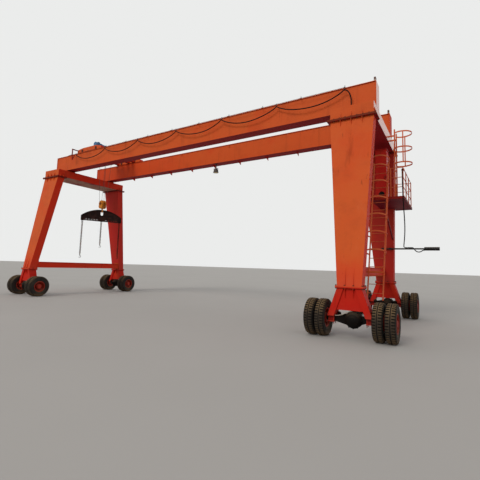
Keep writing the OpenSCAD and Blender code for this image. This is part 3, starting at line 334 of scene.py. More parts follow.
def steel_paint(name, fresh_and_shaded, front, back=None, gloss=0.0, painted_sheen_and_coat=0.0, pale_under=0.0, splash=0.0, left_red=0.0):
    """Paint whose front and back are lighter orange than its sides, partly faded by the sun and partly painted light
    and shade, with painted shade underneath, grime, runs, dust on ledges and rust specks.

    painted_sheen_and_coat lays a pale painted sheen, a painted highlight, on the faces that look along +X and gives
    them a clear coat, pale_under the paler patches on a beam's underside, splash the height below which the paint is
    redder and dustier, and left_red how much redder the front is towards the crane's left end."""
    look, tone = Paint(name, fresh_and_shaded), finish()
    broad = look.noise(0.55, 4.0)
    fine = look.noise(9.0, 5.0, 0.6)
    look.lay(tone.blotch, look.noise(0.7, 4.0, 0.6, shift=(2, 9, 4)).clamp(0.45, 0.75) * 0.5)
    ahead = (look.facing(1) * -1.0).clamp(0.2, 0.8)
    behind = look.facing(1).clamp(0.2, 0.8)
    if left_red:
        ahead = ahead * (1.0 - left_red * (1.0 - look.along(0).clamp(-7.0, 1.0)))
    # Painted light and shade: front and back faces take the lighter orange and the sides keep the deeper red, partly
    # sun-faded paint and partly lit and shaded faces.
    look.lay(front, ahead * (0.84 + 0.40 * (broad - 0.5)))
    look.lay(back or front, behind * (0.80 + 0.40 * (broad - 0.5)))
    flat = ahead + behind
    patch = look.noise(0.9, 2.0, 0.4, shift=(3.1, 7.7, 1.3)).clamp(0.56, 0.70)
    look.lay(tone.patch, patch * flat * 0.4)
    cloud = look.noise(1.5, 6.0, 0.65, shift=(8, 2, 6)).clamp(0.46, 0.78)
    look.lay(tone.cloud, cloud * flat * 0.34)
    # Painted shade: faces that look down are darkened with the shaded red.
    under = (look.facing(2) * -1.0).clamp(0.4, 0.9)
    look.lay(tone.shaded, under * 0.75)
    upright = 1.0 - look.facing(2).clamp(0.3, 0.7)
    runs = look.noise(2.2, 5.0, 0.7, stretch=(1.6, 1.6, 0.09)).clamp(0.56, 0.80)
    look.lay(tone.soot, runs * upright * 0.30)
    drips = look.noise(7.0, 3.0, 0.6, stretch=(2.0, 2.0, 0.05), shift=(5, 1, 0)).clamp(0.66, 0.74)
    look.lay(tone.rust, drips * upright * 0.42)
    chalk = look.noise(3.0, 6.0, 0.7, stretch=(1, 1, 0.5), shift=(11, 3, 5)).clamp(0.55, 0.85)
    look.lay(tone.chalk, chalk * flat * 0.22)
    ledge = look.facing(2).clamp(0.55, 0.9)
    look.lay(tone.dust, ledge * (0.30 + 0.45 * fine))
    # Paler patches on faces that look down.
    if pale_under:
        pale_spots = look.noise(1.3, 5.0, 0.6).clamp(0.30, 0.60)
        look.lay(tone.pale_underside, under * pale_spots * pale_under)
    # A dark band at the joint of the cross beams and the legs, partly dark flange edges and partly painted shadow
    # under the flange.
    if splash > 1.0 or painted_sheen_and_coat or pale_under:
        above = look.along(2).clamp(BEAM_JOINT - 0.045, BEAM_JOINT - 0.03)
        below = 1.0 - look.along(2).clamp(BEAM_JOINT + 0.03, BEAM_JOINT + 0.045)
        look.lay(tone.seam, above * below * (1.0 - under) * 0.8)
    worn = look.noise(5.0, 6.0, 0.75, stretch=(1, 1, 0.4), shift=(4, 9, 2)).clamp(0.66, 0.74)
    look.lay(tone.scuff, worn * upright * 0.30)
    specks = look.noise(34.0, 2.0, 0.5).clamp(0.70, 0.76) * look.noise(1.7, 2.0).clamp(0.5, 0.62)
    look.lay(tone.rust, specks * 0.85)
    if splash:
        height = look.along(2) + 0.5 * (look.noise(3.4, 5.0, 0.7) - 0.5)
        look.lay(fresh_and_shaded, (1.0 - height.clamp(splash * 0.8, splash * 1.2)) * 0.55)
        look.lay(tone.dust, (1.0 - height.clamp(splash * 0.35, splash)) * 0.16)
    rough = 0.44 + 0.24 * fine + 0.2 * ledge + 0.1 * runs
    relief = look.bump(look.noise(0.8, 2.0) + 0.03 * fine, 0.25, 0.02)
    shine = gloss
    # Painted highlight: faces that look along +X get a pale painted sheen for the sky's reflection, besides a real
    # clear coat.
    if painted_sheen_and_coat:
        side = look.facing(0).clamp(0.5, 0.9) * painted_sheen_and_coat
        look.lay(tone.painted_sheen, side * 0.45)
        shine = side + gloss
    look.surface(rough, normal=relief, coat=shine, shine=0.08)


def machine_paint(name, tint, wear, gloss=0.2, dust=0.5, shine=0.25):
    """Paint on castings and machines, with oil, dust on top and worn spots."""
    look, tone = Paint(name, tint), finish()
    fine = look.noise(22.0, 5.0, 0.6)
    broad = look.noise(3.0, 4.0)
    look.lay(tone.soot, broad.clamp(0.50, 0.80) * 0.45)
    look.lay(tone.rust, look.noise(14.0, 4.0, 0.7).clamp(0.60, 0.72) * wear)
    ledge = look.facing(2).clamp(0.1, 0.9)
    look.lay(tone.dust, ledge * (0.35 + 0.6 * fine) * dust)
    relief = look.bump(fine + 0.6 * look.noise(70.0, 3.0), 0.25, 0.004)
    look.surface(0.45 + 0.35 * fine, normal=relief, coat=gloss, shine=shine)


def metal(name, tint, rust, roughness=0.38):
    """Bare steel with rust in patches."""
    look, tone = Paint(name, tint), finish()
    fine = look.noise(40.0, 5.0, 0.6)
    cover = look.noise(5.0, 6.0, 0.7).clamp(0.62 - rust * 0.5, 0.72 - rust * 0.35)
    look.lay(tone.rust, cover * (0.6 + 0.5 * fine))
    metal_share = 1.0 - cover * 0.9
    relief = look.bump(fine, 0.3, 0.002)
    look.surface(roughness + 0.4 * cover, metal_share, relief, shine=0.5)


def rusty(name, light, dark):
    """Scaled brown rust, as on old lifting gear."""
    look = Paint(name, dark)
    scale_noise = look.noise(16.0, 6.0, 0.7)
    look.lay(light, look.noise(4.0, 5.0, 0.65).clamp(0.42, 0.66))
    look.lay(finish().scale, scale_noise.clamp(0.62, 0.74) * 0.6)
    relief = look.bump(scale_noise + 0.4 * look.noise(80.0, 3.0), 0.45, 0.004)
    look.surface(0.72 + 0.2 * scale_noise, normal=relief, shine=0.1)


def tyre_rubber():
    """Rubber with tan yard dust on the tread's blocks, dry mud low down and painted shade darkening the grooves."""
    look, tone = Paint("tyre_rubber", finish().rubber), finish()
    fine = look.noise(30.0, 5.0, 0.65)
    patches = look.noise(2.6, 5.0, 0.6)
    look.lay(tone.aged, patches.clamp(0.35, 0.75) * 0.7)
    walls = look.facing(0)
    wall = (walls * walls).clamp(0.35, 0.8)
    look.lay(tone.tread, (1.0 - wall) * (0.15 + 0.5 * fine) * 0.4)
    look.lay(tone.settled, look.facing(2).clamp(0.05, 0.8) * (0.3 + 0.6 * fine) * 0.8)
    mud = 1.0 - (look.along(2) + 0.14 * (patches - 0.5)).clamp(0.02, 0.24)
    look.lay(tone.mud, mud * 0.5)
    # Painted shade in the grooves: rubber below the tread's face is darkened.
    hub = JOINTS["rear_right_wheels_roll"]["pos_m"]
    depth = look.from_line(hub[1], hub[2]) * (1 / hub[2])
    look.lay(tone.groove, (1.0 - depth.clamp(0.962, 0.985)) * (1.0 - wall) * 0.9)
    relief = look.bump(fine, 0.35, 0.003)
    look.surface(0.78 + 0.2 * fine, normal=relief)


def cable_sheath():
    look, tone = Paint("cable_rubber", finish().cable), finish()
    dusty = look.noise(7.0, 4.0, 0.6).clamp(0.45, 0.75)
    look.lay(tone.cable_dust, dusty * 0.35)
    look.surface(0.70 + 0.2 * dusty, shine=0.08)


def lamp_lens():
    look = Paint("lamp_lens", finish().glass)
    grid = look.noise(60.0, 1.0)
    look.lay(finish().glass_dark, grid)
    look.surface(0.1, coat=0.6, shine=0.5)


NODE_FINISH = {
    "girder_paint": ("trolley_frame", "right_tie_beam", "left_tie_beam"),
    "front_girder_paint": ("front_girder",),
    "rear_girder_paint": ("rear_girder",),
    "right_beam_paint": ("right_cross_beam",),
    "left_beam_paint": ("left_cross_beam",),
    "landing_paint": ("landing", "tow_arm"),
    "ladder_paint": ("landing_railing", "access_ladder", "access_cage", "upper_ladder", "upper_cage"),
    "leg_paint": ("front_right_leg", "front_left_leg"),
    "rear_leg_paint": ("rear_right_leg", "rear_left_leg"),
    "bogie_paint": tuple(f"{corner}_bogie" for corner in CORNERS),
    "cabinet_paint": ("control_cabinet",),
    "axle_black": tuple(f"{corner}_axle" for corner in CORNERS),
    "arm_black": ("cable_arm", "festoon_line"),
    "rim_paint": tuple(f"{corner}_rims" for corner in CORNERS),
    "tyre_rubber": tuple(f"{corner}_tyres" for corner in CORNERS),
    "worn_steel": ("trolley_rails", "trolley_wheels", "rope_drum"),
    "motor_blue": ("hoist_gearbox", "hoist_motor"),
    "hook_yellow": ("hook_block", "lifting_hook"),
    "beam_rust": ("spreader_beam",),
    "chain_rust": ("lifting_chains",),
    "rope_steel": ("hoist_ropes",),
    "cable_rubber": ("supply_cable", "festoon_cable"),
    "lamp_grey": ("floodlight",),
}


class Shape:
    """A bmesh that pieces are added to and that ends as one object."""

    def __init__(self):
        self.bm = bmesh.new()

    def block(self, low, high, bevel=0.0, at=(0, 0, 0)):
        """A block between two corners, which are given from a place."""
        low, high = Vector(at) + Vector(low), Vector(at) + Vector(high)
        made = bmesh.ops.create_cube(self.bm, size=1)["verts"]
        matrix = Matrix.Translation((low + high) / 2) @ Matrix.Diagonal((*(high - low), 1))
        bmesh.ops.transform(self.bm, matrix=matrix, verts=made)
        if bevel:
            edges = list(dict.fromkeys(e for v in made for e in v.link_edges))
            bmesh.ops.bevel(self.bm, geom=edges, offset=bevel, segments=1, profile=0.5, affect="EDGES",
                            material=-1)

    def rod(self, start, end, d, sides=12):
        start, end = Vector(start), Vector(end)
        bmesh.ops.create_cone(self.bm, cap_ends=True, segments=sides, radius1=d / 2, radius2=d / 2,
                              depth=(end - start).length, matrix=stand((start + end) / 2, end - start))

    def lathe(self, outline, at, axis, steps=32):
        """Turns an outline of (distance from axis, way along it) round an axis through a place."""
        bm = bmesh.new()
        verts = [bm.verts.new((r, 0, h)) for r, h in outline]
        edges = [bm.edges.new(pair) for pair in zip(verts, verts[1:])]
        bmesh.ops.spin(bm, geom=verts + edges, cent=(0, 0, 0), axis=(0, 0, 1), angle=TWO_PI, steps=steps,
                       use_merge=True)
        bmesh.ops.remove_doubles(bm, verts=bm.verts[:], dist=1e-6)
        self.add(bm, (stand(at, axis),))

    def ring(self, d, wire, at, axis, steps=32, sides=8):
        """A round wire bent into a ring."""
        bm = bmesh.new()
        upright = Matrix.Translation((d / 2, 0, 0)) @ Matrix.Rotation(math.pi / 2, 4, "X")
        bmesh.ops.create_circle(bm, segments=sides, radius=wire / 2, matrix=upright)
        bmesh.ops.spin(bm, geom=bm.verts[:] + bm.edges[:], cent=(0, 0, 0), axis=(0, 0, 1), angle=TWO_PI,
                       steps=steps, use_merge=True)
        self.add(bm, (stand(at, axis),))

    def add(self, other, places=(Matrix(),)):
        """Adds another bmesh once at each of several places, and frees it."""
        mesh = bpy.data.meshes.new("part")
        other.to_mesh(mesh)
        other.free()
        for place in places:
            one = mesh.copy()
            one.transform(place)
            self.bm.from_mesh(one)
            bpy.data.meshes.remove(one)
        bpy.data.meshes.remove(mesh)

    def object(self, name, material, body, slot, replaces=(), smooth=35.0):
        bmesh.ops.recalc_face_normals(self.bm, faces=self.bm.faces[:])
        mesh = bpy.data.meshes.new(name)
        self.bm.to_mesh(mesh)
        self.bm.free()
        mesh.materials.append(MATERIALS[material])
        mesh.shade_smooth()
        mesh.set_sharp_from_angle(angle=math.radians(smooth))
        made = bpy.data.objects.new(name, mesh)
        bpy.context.scene.collection.objects.link(made)
        if replaces:
            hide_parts(*replaces)
        if body:
            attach(made, body)
        return made


def stand(at, axis, turn=0.0):
    """A placing matrix that takes Z to an axis at a place."""
    tilt = UP.rotation_difference(Vector(axis).normalized()).to_matrix().to_4x4()
    return Matrix.Translation(Vector(at)) @ tilt @ Matrix.Rotation(turn, 4, "Z")


def bolt_circle(centre, axis, radius, count, first=0.0):
    """Places for bolts round an axis along X or Y. The first stands a share of a step above the level."""
    centre, axis = Vector(centre), Vector(axis)
    ahead = Vector((0, 1, 0)) if axis.x else Vector((1, 0, 0))
    turns = [TWO_PI * (i + first) / count for i in range(count)]
    return [stand(centre + (ahead * math.cos(a) + UP * math.sin(a)) * radius, axis, a) for a in turns]


def spread(start, end, count):
    """Evenly spaced places from one to another, both included."""
    start, end = Vector(start), Vector(end)
    return [start.lerp(end, i / (count - 1)) for i in range(count)]


def level(node, z):
    """The least and greatest corner of a node's own points at a height."""
    found = [v.co for v in frame["nodes"][node].data.vertices if abs(v.co.z - z) < 0.0015]
    return [Vector([pick(v[i] for v in found) for i in range(3)]) for pick in (min, max)]


def axle_place(corner):
    """The middle of a corner's axle."""
    return Vector(JOINTS[f"{corner}_wheels_roll"]["pos_m"])


def smooth_route(points, parts):
    """A route through the same points with more between them, on a Catmull-Rom curve."""
    points = [Vector(p) for p in points]
    found = []
    for i in range(len(points) - 1):
        a, b, c, d = points[max(i - 1, 0)], points[i], points[i + 1], points[min(i + 2, len(points) - 1)]
        for k in range(parts):
            t = k / parts
            found.append(0.5 * ((2 * b) + (c - a) * t + (2 * a - 5 * b + 4 * c - d) * t * t
                                + (3 * b - 3 * c + d - a) * t ** 3))
    return found + [points[-1]]


def run_length(points):
    """How long a line through the points is."""
    return sum((b - a).length for a, b in zip(points, points[1:]))


def hexagon(head):
    """A hexagon head on its washer, standing on the origin."""
    bm = bmesh.new()
    washer, height = head * 0.12, head * 0.65
    for sides, radius, low, high in ((12, head * 0.74, 0, washer), (6, head * 0.577, washer, washer + height)):
        bmesh.ops.create_cone(bm, cap_ends=True, segments=sides, radius1=radius, radius2=radius * 0.97,
                              depth=high - low, matrix=Matrix.Translation((0, 0, (low + high) / 2)))
    return bm


def bent_bar(route, d, sides=8, d_end=None):
    """A round bar along a route, whose diameter runs evenly from d to d_end."""
    bm = bmesh.new()
    route = [Vector(at) for at in route]
    last = len(route) - 1
    rings = []
    for i, at in enumerate(route):
        size = d + ((d if d_end is None else d_end) - d) * i / last
        place = stand(at, route[min(i + 1, last)] - route[max(i - 1, 0)])
        made = bmesh.ops.create_circle(bm, segments=sides, radius=size / 2, cap_ends=i in (0, last),
                                       matrix=place)["verts"]
        rings.append(list({e for v in made for e in v.link_edges}))
    for a, b in zip(rings, rings[1:]):
        bmesh.ops.bridge_loops(bm, edges=a + b)
    bmesh.ops.recalc_face_normals(bm, faces=bm.faces[:])
    return bm


def arc(centre, radius, start, end, count):
    """Places on an arc in XZ about a centre, in degrees from +X towards +Z."""
    steps = [math.radians(start + (end - start) * i / (count - 1)) for i in range(count)]
    return [(centre[0] + radius * math.cos(a), 0, centre[1] + radius * math.sin(a)) for a in steps]


def link_form(pitch, wire):
    """One chain link: a round bar bent into a long ring that stands upright in XZ, centred on the origin."""
    bm = bmesh.new()
    inner = wire * 1.25
    run = pitch - inner
    circle = bmesh.ops.create_circle(bm, segments=8, radius=wire / 2)["verts"]
    bmesh.ops.translate(bm, vec=(inner, 0, -run / 2), verts=circle)
    end = bm.edges[:]
    for way in (1, -1):
        drawn = bmesh.ops.extrude_edge_only(bm, edges=end)["geom"]
        moved = [g for g in drawn if isinstance(g, bmesh.types.BMVert)]
        bmesh.ops.translate(bm, vec=(0, 0, way * run), verts=moved)
        turned = [g for g in drawn if not isinstance(g, bmesh.types.BMFace)]
        made = bmesh.ops.spin(bm, geom=turned, cent=(0, 0, way * run / 2), axis=(0, -1, 0), angle=math.pi,
                              steps=6)
        end = [g for g in made["geom_last"] if isinstance(g, bmesh.types.BMEdge)]
    bmesh.ops.remove_doubles(bm, verts=bm.verts[:], dist=1e-5)
    bmesh.ops.recalc_face_normals(bm, faces=bm.faces[:])
    return bm


def shackle_form():
    """A bow shackle hanging from z = 0 down to 0.115, with its pin across the beam."""
    bow = [(0.034, 0, -0.005), (0.036, 0, -0.035)] + arc((0, -0.07), 0.040, 10, -190, 9)
    bm = bent_bar(bow + [(-0.036, 0, -0.035), (-0.034, 0, -0.005)], 0.022)
    bmesh.ops.create_cone(bm, cap_ends=True, segments=12, radius1=0.013, radius2=0.013, depth=0.11,
                          matrix=stand((0, 0, -0.018), (1, 0, 0)))
    return bm


def chain_hook_form():
    """A clevis hook at the end of a chain, from z = 0 down to 0.2."""
    route = [(0, 0, 0.012), (0, 0, -0.05)] + arc((0, -0.115), 0.055, 80, -150, 12)
    bm = bent_bar(route, 0.034, 10, 0.018)
    bmesh.ops.create_cone(bm, cap_ends=True, segments=16, radius1=0.026, radius2=0.026, depth=0.030,
                          matrix=stand((0, 0, -0.002), (0, -1, 0)))
    return bm


def lozenge(length, width, height):
    """A raised tear of tread plate, as a flattened four-sided dome."""
    bm = bmesh.new()
    matrix = Matrix.Translation((0, 0, height / 2)) @ Matrix.Diagonal((length, width, height, 1))
    bmesh.ops.create_cone(bm, cap_ends=True, segments=4, radius1=0.5, radius2=0.2, depth=1, matrix=matrix)
    return bm


def tyre(shape, centre, size):
    """A truck tyre: a turned carcass with one circling groove, and shoulder blocks parted by cross grooves."""
    width, radius = sizes().tyre_width, size / 2
    side = [(r * radius, share * width) for r, share in TYRE_OUTLINE]
    outline = side + [(r, -x) for r, x in reversed(side[:-1])]
    bm = bmesh.new()
    verts = [bm.verts.new((x, 0, r)) for r, x in outline]
    edges = [bm.edges.new(pair) for pair in zip(verts, verts[1:])]
    steps = sizes().tread_pitches * 2
    bmesh.ops.spin(bm, geom=verts + edges, cent=(0, 0, 0), axis=(1, 0, 0), angle=TWO_PI, steps=steps,
                   use_merge=True)
    bmesh.ops.recalc_face_normals(bm, faces=bm.faces[:])
    grooves = []
    for face in bm.faces:
        middle = face.calc_center_median()
        cell = int(math.floor(math.atan2(middle.y, middle.z) / TWO_PI * steps)) % 2
        tread = abs(middle.x) / width > LUG_FROM and math.hypot(middle.y, middle.z) > TREAD_FROM * radius
        if cell == (middle.x > 0) and tread:
            grooves.append(face)
    cut = bmesh.ops.extrude_face_region(bm, geom=grooves)
    moved = [g for g in cut["geom"] if isinstance(g, bmesh.types.BMVert)]
    bmesh.ops.delete(bm, geom=grooves, context="FACES")
    for v in moved:
        v.co -= Vector((0, v.co.y, v.co.z)).normalized() * sizes().tread_depth
        v.co.x *= 0.96
    shape.add(bm, (Matrix.Translation(centre),))


def strand(start, end, d):
    """A laid rope: a lobed ring spun along its own axis."""
    bm = bmesh.new()
    run = end - start
    ring = bmesh.ops.create_circle(bm, segments=ROPE_STRANDS * 3, radius=d / 2)["verts"]
    for i, v in enumerate(ring):
        v.co *= 1.0 if i % 3 else 0.80
    steps = int(run.length / ROPE_LAY * 9)
    bmesh.ops.spin(bm, geom=bm.verts[:] + bm.edges[:], cent=(0, 0, 0), axis=(0, 0, 1),
                   dvec=(0, 0, run.length / steps), angle=TWO_PI * run.length / ROPE_LAY, steps=steps)
    bmesh.ops.transform(bm, matrix=stand(start, run), verts=bm.verts[:])
    return bm


def coil(radius, d, start, end, turns, axis_at, hand=1):
    """Turns of rope side by side on a drum that lies along Y."""
    bm = bmesh.new()
    steps = int(abs(turns) * 36)
    bmesh.ops.create_circle(bm, segments=8, radius=d / 2, matrix=Matrix.Translation((radius, start, 0)))
    bmesh.ops.spin(bm, geom=bm.verts[:] + bm.edges[:], cent=(0, 0, 0), axis=(0, 1, 0),
                   dvec=(0, (end - start) / steps, 0), angle=hand * TWO_PI * turns, steps=steps)
    bmesh.ops.translate(bm, vec=axis_at, verts=bm.verts[:])
    return bm


def chain_feet():
    """The middle, top and bottom of each lifting chain, from the frame's own three bars."""
    mesh = frame["nodes"]["lifting_chains"].data
    bars = []
    for v in mesh.vertices:
        for bar in bars:
            if (Vector(v.co.xy) - bar["at"]).length < 0.3:
                bar["all"].append(v.co.copy())
                break
        else:
            bars.append({"at": Vector(v.co.xy), "all": [v.co.copy()]})
    found = []
    for bar in bars:
        xs, ys, zs = zip(*bar["all"])
        found.append((Vector(((min(xs) + max(xs)) / 2, (min(ys) + max(ys)) / 2)), max(zs), min(zs)))
    return sorted(found, key=lambda bar: bar[0].y)


def falls():
    """The side, foot and top of each fall of the hoist rope, from the frame's own four tubes."""
    mesh = frame["nodes"]["hoist_ropes"].data
    low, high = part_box("hoist_ropes")
    middle = (low + high) / 2
    ends = {}
    for v in mesh.vertices:
        if abs(v.co.z - middle.z) > 0.5:
            ends.setdefault((v.co.x > middle.x, v.co.y > 0, v.co.z > middle.z), []).append(v.co.copy())
    centre = {key: sum(found, Vector()) / len(found) for key, found in ends.items()}
    return [(right, centre[(right, rear, False)], centre[(right, rear, True)])
            for right in (False, True) for rear in (False, True)]


def rim_of_bolts(low, high, inset, z, up, counts):
    """Places along the four sides of a flange, with the heads standing up or down."""
    x0, x1, y0, y1 = low.x + inset, high.x - inset, low.y + inset, high.y - inset
    places = spread((x0, y0, z), (x1, y0, z), counts[0]) + spread((x0, y1, z), (x1, y1, z), counts[0])
    for x in (x0, x1):
        places += spread((x, y0, z), (x, y1, z), counts[1])[1:-1]
    return [stand(at, (0, 0, up), 0.3 * i) for i, at in enumerate(places)]


class CRANE_OT_paint(bpy.types.Operator):
    """Makes every finish and puts it on the frame's own pieces"""
    bl_idname = "crane.paint"
    bl_label = "Paint the frame"

    def execute(self, context):
        tone = finish()
        steel_paint("girder_paint", tone.fresh_and_shaded, tone.bleached_and_lit)
        steel_paint("front_girder_paint", tone.fresh_and_shaded, tone.bleached_and_lit, painted_sheen_and_coat=1.0)
        steel_paint("rear_girder_paint", tone.fresh_and_shaded, tone.bleached_and_lit, left_red=0.4)
        steel_paint("right_beam_paint", tone.fresh_and_shaded, tone.bleached_and_lit, painted_sheen_and_coat=1.0)
        steel_paint("left_beam_paint", tone.fresh_and_shaded, tone.bleached_and_lit, pale_under=0.9)
        steel_paint("leg_paint", tone.fresh_and_shaded, tone.bleached_and_lit, splash=2.1)
        # Partly painted shade: the rear legs are darker than the front legs because their fronts stand in the front
        # legs' shadow; left_red also shifts their front colour from the left leg to the right one, as painted light
        # from the right.
        steel_paint("rear_leg_paint", tone.rear_leg, tone.rear_leg_face, tone.bleached_and_lit, splash=2.1, left_red=1.0)
        # Painted shade in part: the landing and the tow arm take the deep red of their shade.
        steel_paint("landing_paint", tone.landing, tone.landing_face)
        steel_paint("ladder_paint", tone.thin, tone.thin_face)
        steel_paint("bogie_paint", tone.bogie, tone.bogie_face, splash=0.9)
        steel_paint("cabinet_paint", tone.cabinet, tone.cabinet_face, gloss=0.15)
        machine_paint("axle_black", tone.axle, 0.4, gloss=0.0, dust=0.2, shine=0.06)
        machine_paint("pipe_grey", tone.pipe, 0.2, gloss=0.1, dust=0.2)
        machine_paint("arm_black", tone.cable, 0.3, gloss=0.05, dust=0.25)
        machine_paint("rim_paint", tone.rim, 0.55, gloss=0.05, dust=0.45)
        machine_paint("motor_blue", tone.motor, 0.25, gloss=0.2, dust=0.3)
        machine_paint("hook_yellow", tone.hook, 0.5, gloss=0.15, dust=0.2)
        machine_paint("lamp_grey", tone.lamp, 0.2)
        metal("worn_steel", tone.steel, 0.55)
        metal("rope_steel", tone.rope, 0.15, 0.45)
        metal("bolt_steel", tone.bolt, 0.8, 0.5)
        rusty("beam_rust", tone.beam_light, tone.beam_dark)
        rusty("chain_rust", tone.chain_light, tone.chain_dark)
        tyre_rubber()
        cable_sheath()
        lamp_lens()
        for name, nodes in NODE_FINISH.items():
            for node in nodes:
                mesh = frame["nodes"][node].data
                mesh.materials.clear()
                mesh.materials.append(MATERIALS[name])
        return {"FINISHED"}


class CRANE_OT_tyres(bpy.types.Operator):
    """Models the sixteen truck tyres with their tread"""
    bl_idname = "crane.tyres"
    bl_label = "Model the tyres"

    def execute(self, context):
        width, gap = sizes().tyre_width, sizes().dual_gap
        for corner in CORNERS:
            low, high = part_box(f"{corner}_tyres")
            middle = (low + high) / 2
            shape = Shape()
            for off in (width / 2, width * 1.5 + gap):
                for x in (low.x + off, high.x - off):
                    tyre(shape, (x, middle.y, middle.z), high.z - low.z)
            shape.object(f"{corner}_treaded_tyres", "tyre_rubber", f"{corner}_wheels", "tyre_rubber",
                         (f"{corner}_tyres",), smooth=38)
        return {"FINISHED"}


class CRANE_OT_flange_bolts(bpy.types.Operator):
    """Bolts the flanges at the legs' feet and tops and the tie beams' end plates"""
    bl_idname = "crane.flange_bolts"
    bl_label = "Bolt the flanges"

    def execute(self, context):
        head = sizes().bolt
        for corner in CORNERS:
            leg = f"{corner}_leg"
            foot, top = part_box(leg)
            places = []
            for z, inset, counts in ((foot.z, FOOT_INSET, (4, 3)), (top.z, TOP_INSET, (9, 3))):
                low, high = level(leg, z)
                for up in (1, -1):
                    places += rim_of_bolts(low, high, inset, z + up * FLANGE_T, up, counts)
            shape = Shape()
            shape.add(hexagon(head), places)
            shape.object(f"{corner}_flange_bolts", "bolt_steel", "crane_frame", "bare_steel")
        for side in ("right", "left"):
            low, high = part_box(f"{side}_tie_beam")
            height = high.z - low.z
            slope = (high.y - level(f"{side}_tie_beam", high.z)[1].y) / height
            places = []
            for way, edge in ((-1, low.y), (1, high.y)):
                for x in (low.x + 0.018, high.x - 0.018):
                    for share in (0.12, 0.5, 0.88):
                        y = edge - way * (slope * height * share + TIE_PLATE)
                        places.append(stand((x, y, low.z + height * share), (0, -way, -slope)))
            shape = Shape()
            shape.add(hexagon(head * 0.75), places)
            shape.object(f"{side}_tie_bolts", "bolt_steel", "crane_frame", "bare_steel")
        return {"FINISHED"}


class CRANE_OT_wheel_fittings(bpy.types.Operator):
    """Adds wheel nuts, lock rings, hub caps' bolts and valves to the rims"""
    bl_idname = "crane.wheel_fittings"
    bl_label = "Fit the wheels"

    def execute(self, context):
        width, gap = sizes().tyre_width, sizes().dual_gap
        for corner in CORNERS:
            axle = axle_place(corner)
            low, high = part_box(f"{corner}_tyres")
            shape = Shape()
            for way, outer in ((-1, low.x), (1, high.x)):
                side = Vector((way, 0, 0))
                face = Vector((outer, axle.y, axle.z))
                disc = face - side * (width + gap / 2 - 0.016)
                shape.add(hexagon(0.032), bolt_circle(disc, side, NUT_RING / 2, 10))
                shape.add(hexagon(0.020), bolt_circle(face - side * (gap / 2 + 0.02), side, 0.072, 8))
                shape.ring(0.536, 0.022, face - side * 0.036, side, 48)
                shape.ring(0.522, 0.018, face - side * 0.024, side, 48)
                valve = disc + UP * 0.205
                shape.rod(valve, valve + side * 0.09, 0.010, 8)
                shape.rod(valve + side * 0.09, valve + side * 0.115, 0.014, 8)
            shape.object(f"{corner}_wheel_fittings", "rim_paint", f"{corner}_wheels", "wheel_paint")
        return {"FINISHED"}


class CRANE_OT_axle_fittings(bpy.types.Operator):
    """Adds the axles' housing bolts, filler plug, U-bolt nuts, brake chambers, brake pipes and spring seats"""
    bl_idname = "crane.axle_fittings"
    bl_label = "Fit the axles"

    def execute(self, context):
        for corner in CORNERS:
            axle = axle_place(corner)
            way = -1 if corner.startswith("front") else 1
            out = Vector((0, way, 0))
            middle = axle + Vector((HOUSING_X if corner.endswith("right") else -HOUSING_X, 0, 0))
            shape = Shape()
            places = bolt_circle(middle + out * 0.112, out, COVER_RING / 2, 12)
            places += bolt_circle(middle - out * 0.138, -out, PINION_RING / 2, 10)
            places += [stand(axle + at - UP * 0.097, -UP) for at in U_BOLTS]
            shape.add(hexagon(0.030), places)
            shape.lathe(((0, 0.030), (0.022, 0.028), (0.030, 0.010), (0.034, 0)),
                        middle + Vector((0.07, way * 0.195, -0.055)), out, 16)
            for side in (-1, 1):
                pot = axle + Vector((side * 0.33, -way * 0.19, 0.09))
                shape.lathe(BRAKE_POT, pot, (side, 0, 0), 24)
                shape.block((side * 0.02 - 0.012, -0.03, -0.13), (side * 0.02 + 0.012, 0.06, 0.02), 0.004, pot)
            shape.object(f"{corner}_axle_fittings", "axle_black", "crane_frame", "black_steel")
            pipe = Shape()
            bend = [(-0.40, way * 0.100, 0.085), (-0.33, way * 0.120, 0.092), (-0.22, way * 0.135, 0.118),
                    (-0.12, way * 0.135, 0.175), (-0.03, way * 0.125, 0.215), (0.04, way * 0.100, 0.235)]
            bend = [axle + Vector(at) for at in bend]
            pipe.add(bent_bar(smooth_route(bend, 5), 0.022, 10))
            for at in (bend[0], bend[-1]):
                pipe.lathe(((0, -0.016), (0.018, -0.016), (0.018, 0.016), (0, 0.016)), at, (1, 0, 0.2), 6)
            pipe.object(f"{corner}_brake_pipe", "pipe_grey", "crane_frame", "bare_steel")
            pads = Shape()
            half_x, half_y = U_BOLT_X - 0.008, U_BOLT_Y + 0.004
            for side in (-1, 1):
                seat = axle + Vector((side * SEAT_X, 0, 0))
                pads.block((-half_x, -half_y, -0.076), (half_x, half_y, 0.080), 0.012, seat)
            for at in U_BOLTS:
                pads.rod(axle + at - UP * 0.165, axle + at - UP * 0.095, 0.020, 10)
            pads.object(f"{corner}_axle_seats", "landing_paint", "crane_frame", "red_paint")
        return {"FINISHED"}


class CRANE_OT_lifting_chains(bpy.types.Operator):
    """Hangs the three link chains with their shackles and hooks under the spreader beam"""
    bl_idname = "crane.lifting_chains"
    bl_label = "Hang the chains"

    def execute(self, context):
        pitch, wire = sizes().link_pitch, sizes().link_wire
        shape = Shape()
        feet = chain_feet()
        row = feet[-1][0] - feet[0][0]
        heading = math.atan2(row.y, row.x)
        for at, top, bottom in feet:
            def hung(z, turn=0.0):
                return Matrix.Translation((at.x, at.y, z)) @ Matrix.Rotation(heading + turn, 4, "Z")
            shape.add(shackle_form(), (hung(top),))
            start = top - SHACKLE_H
            count = int((start - bottom - CHAIN_HOOK_H) / pitch)
            places = [hung(start - pitch * (i + 0.5), math.pi / 2 if i % 2 else 0.0) for i in range(count)]
            shape.add(link_form(pitch, wire), places)
            shape.add(chain_hook_form(), (hung(start - pitch * count),))
        shape.object("link_chains", "chain_rust", "hook", "rusty_steel", ("lifting_chains",))
        return {"FINISHED"}


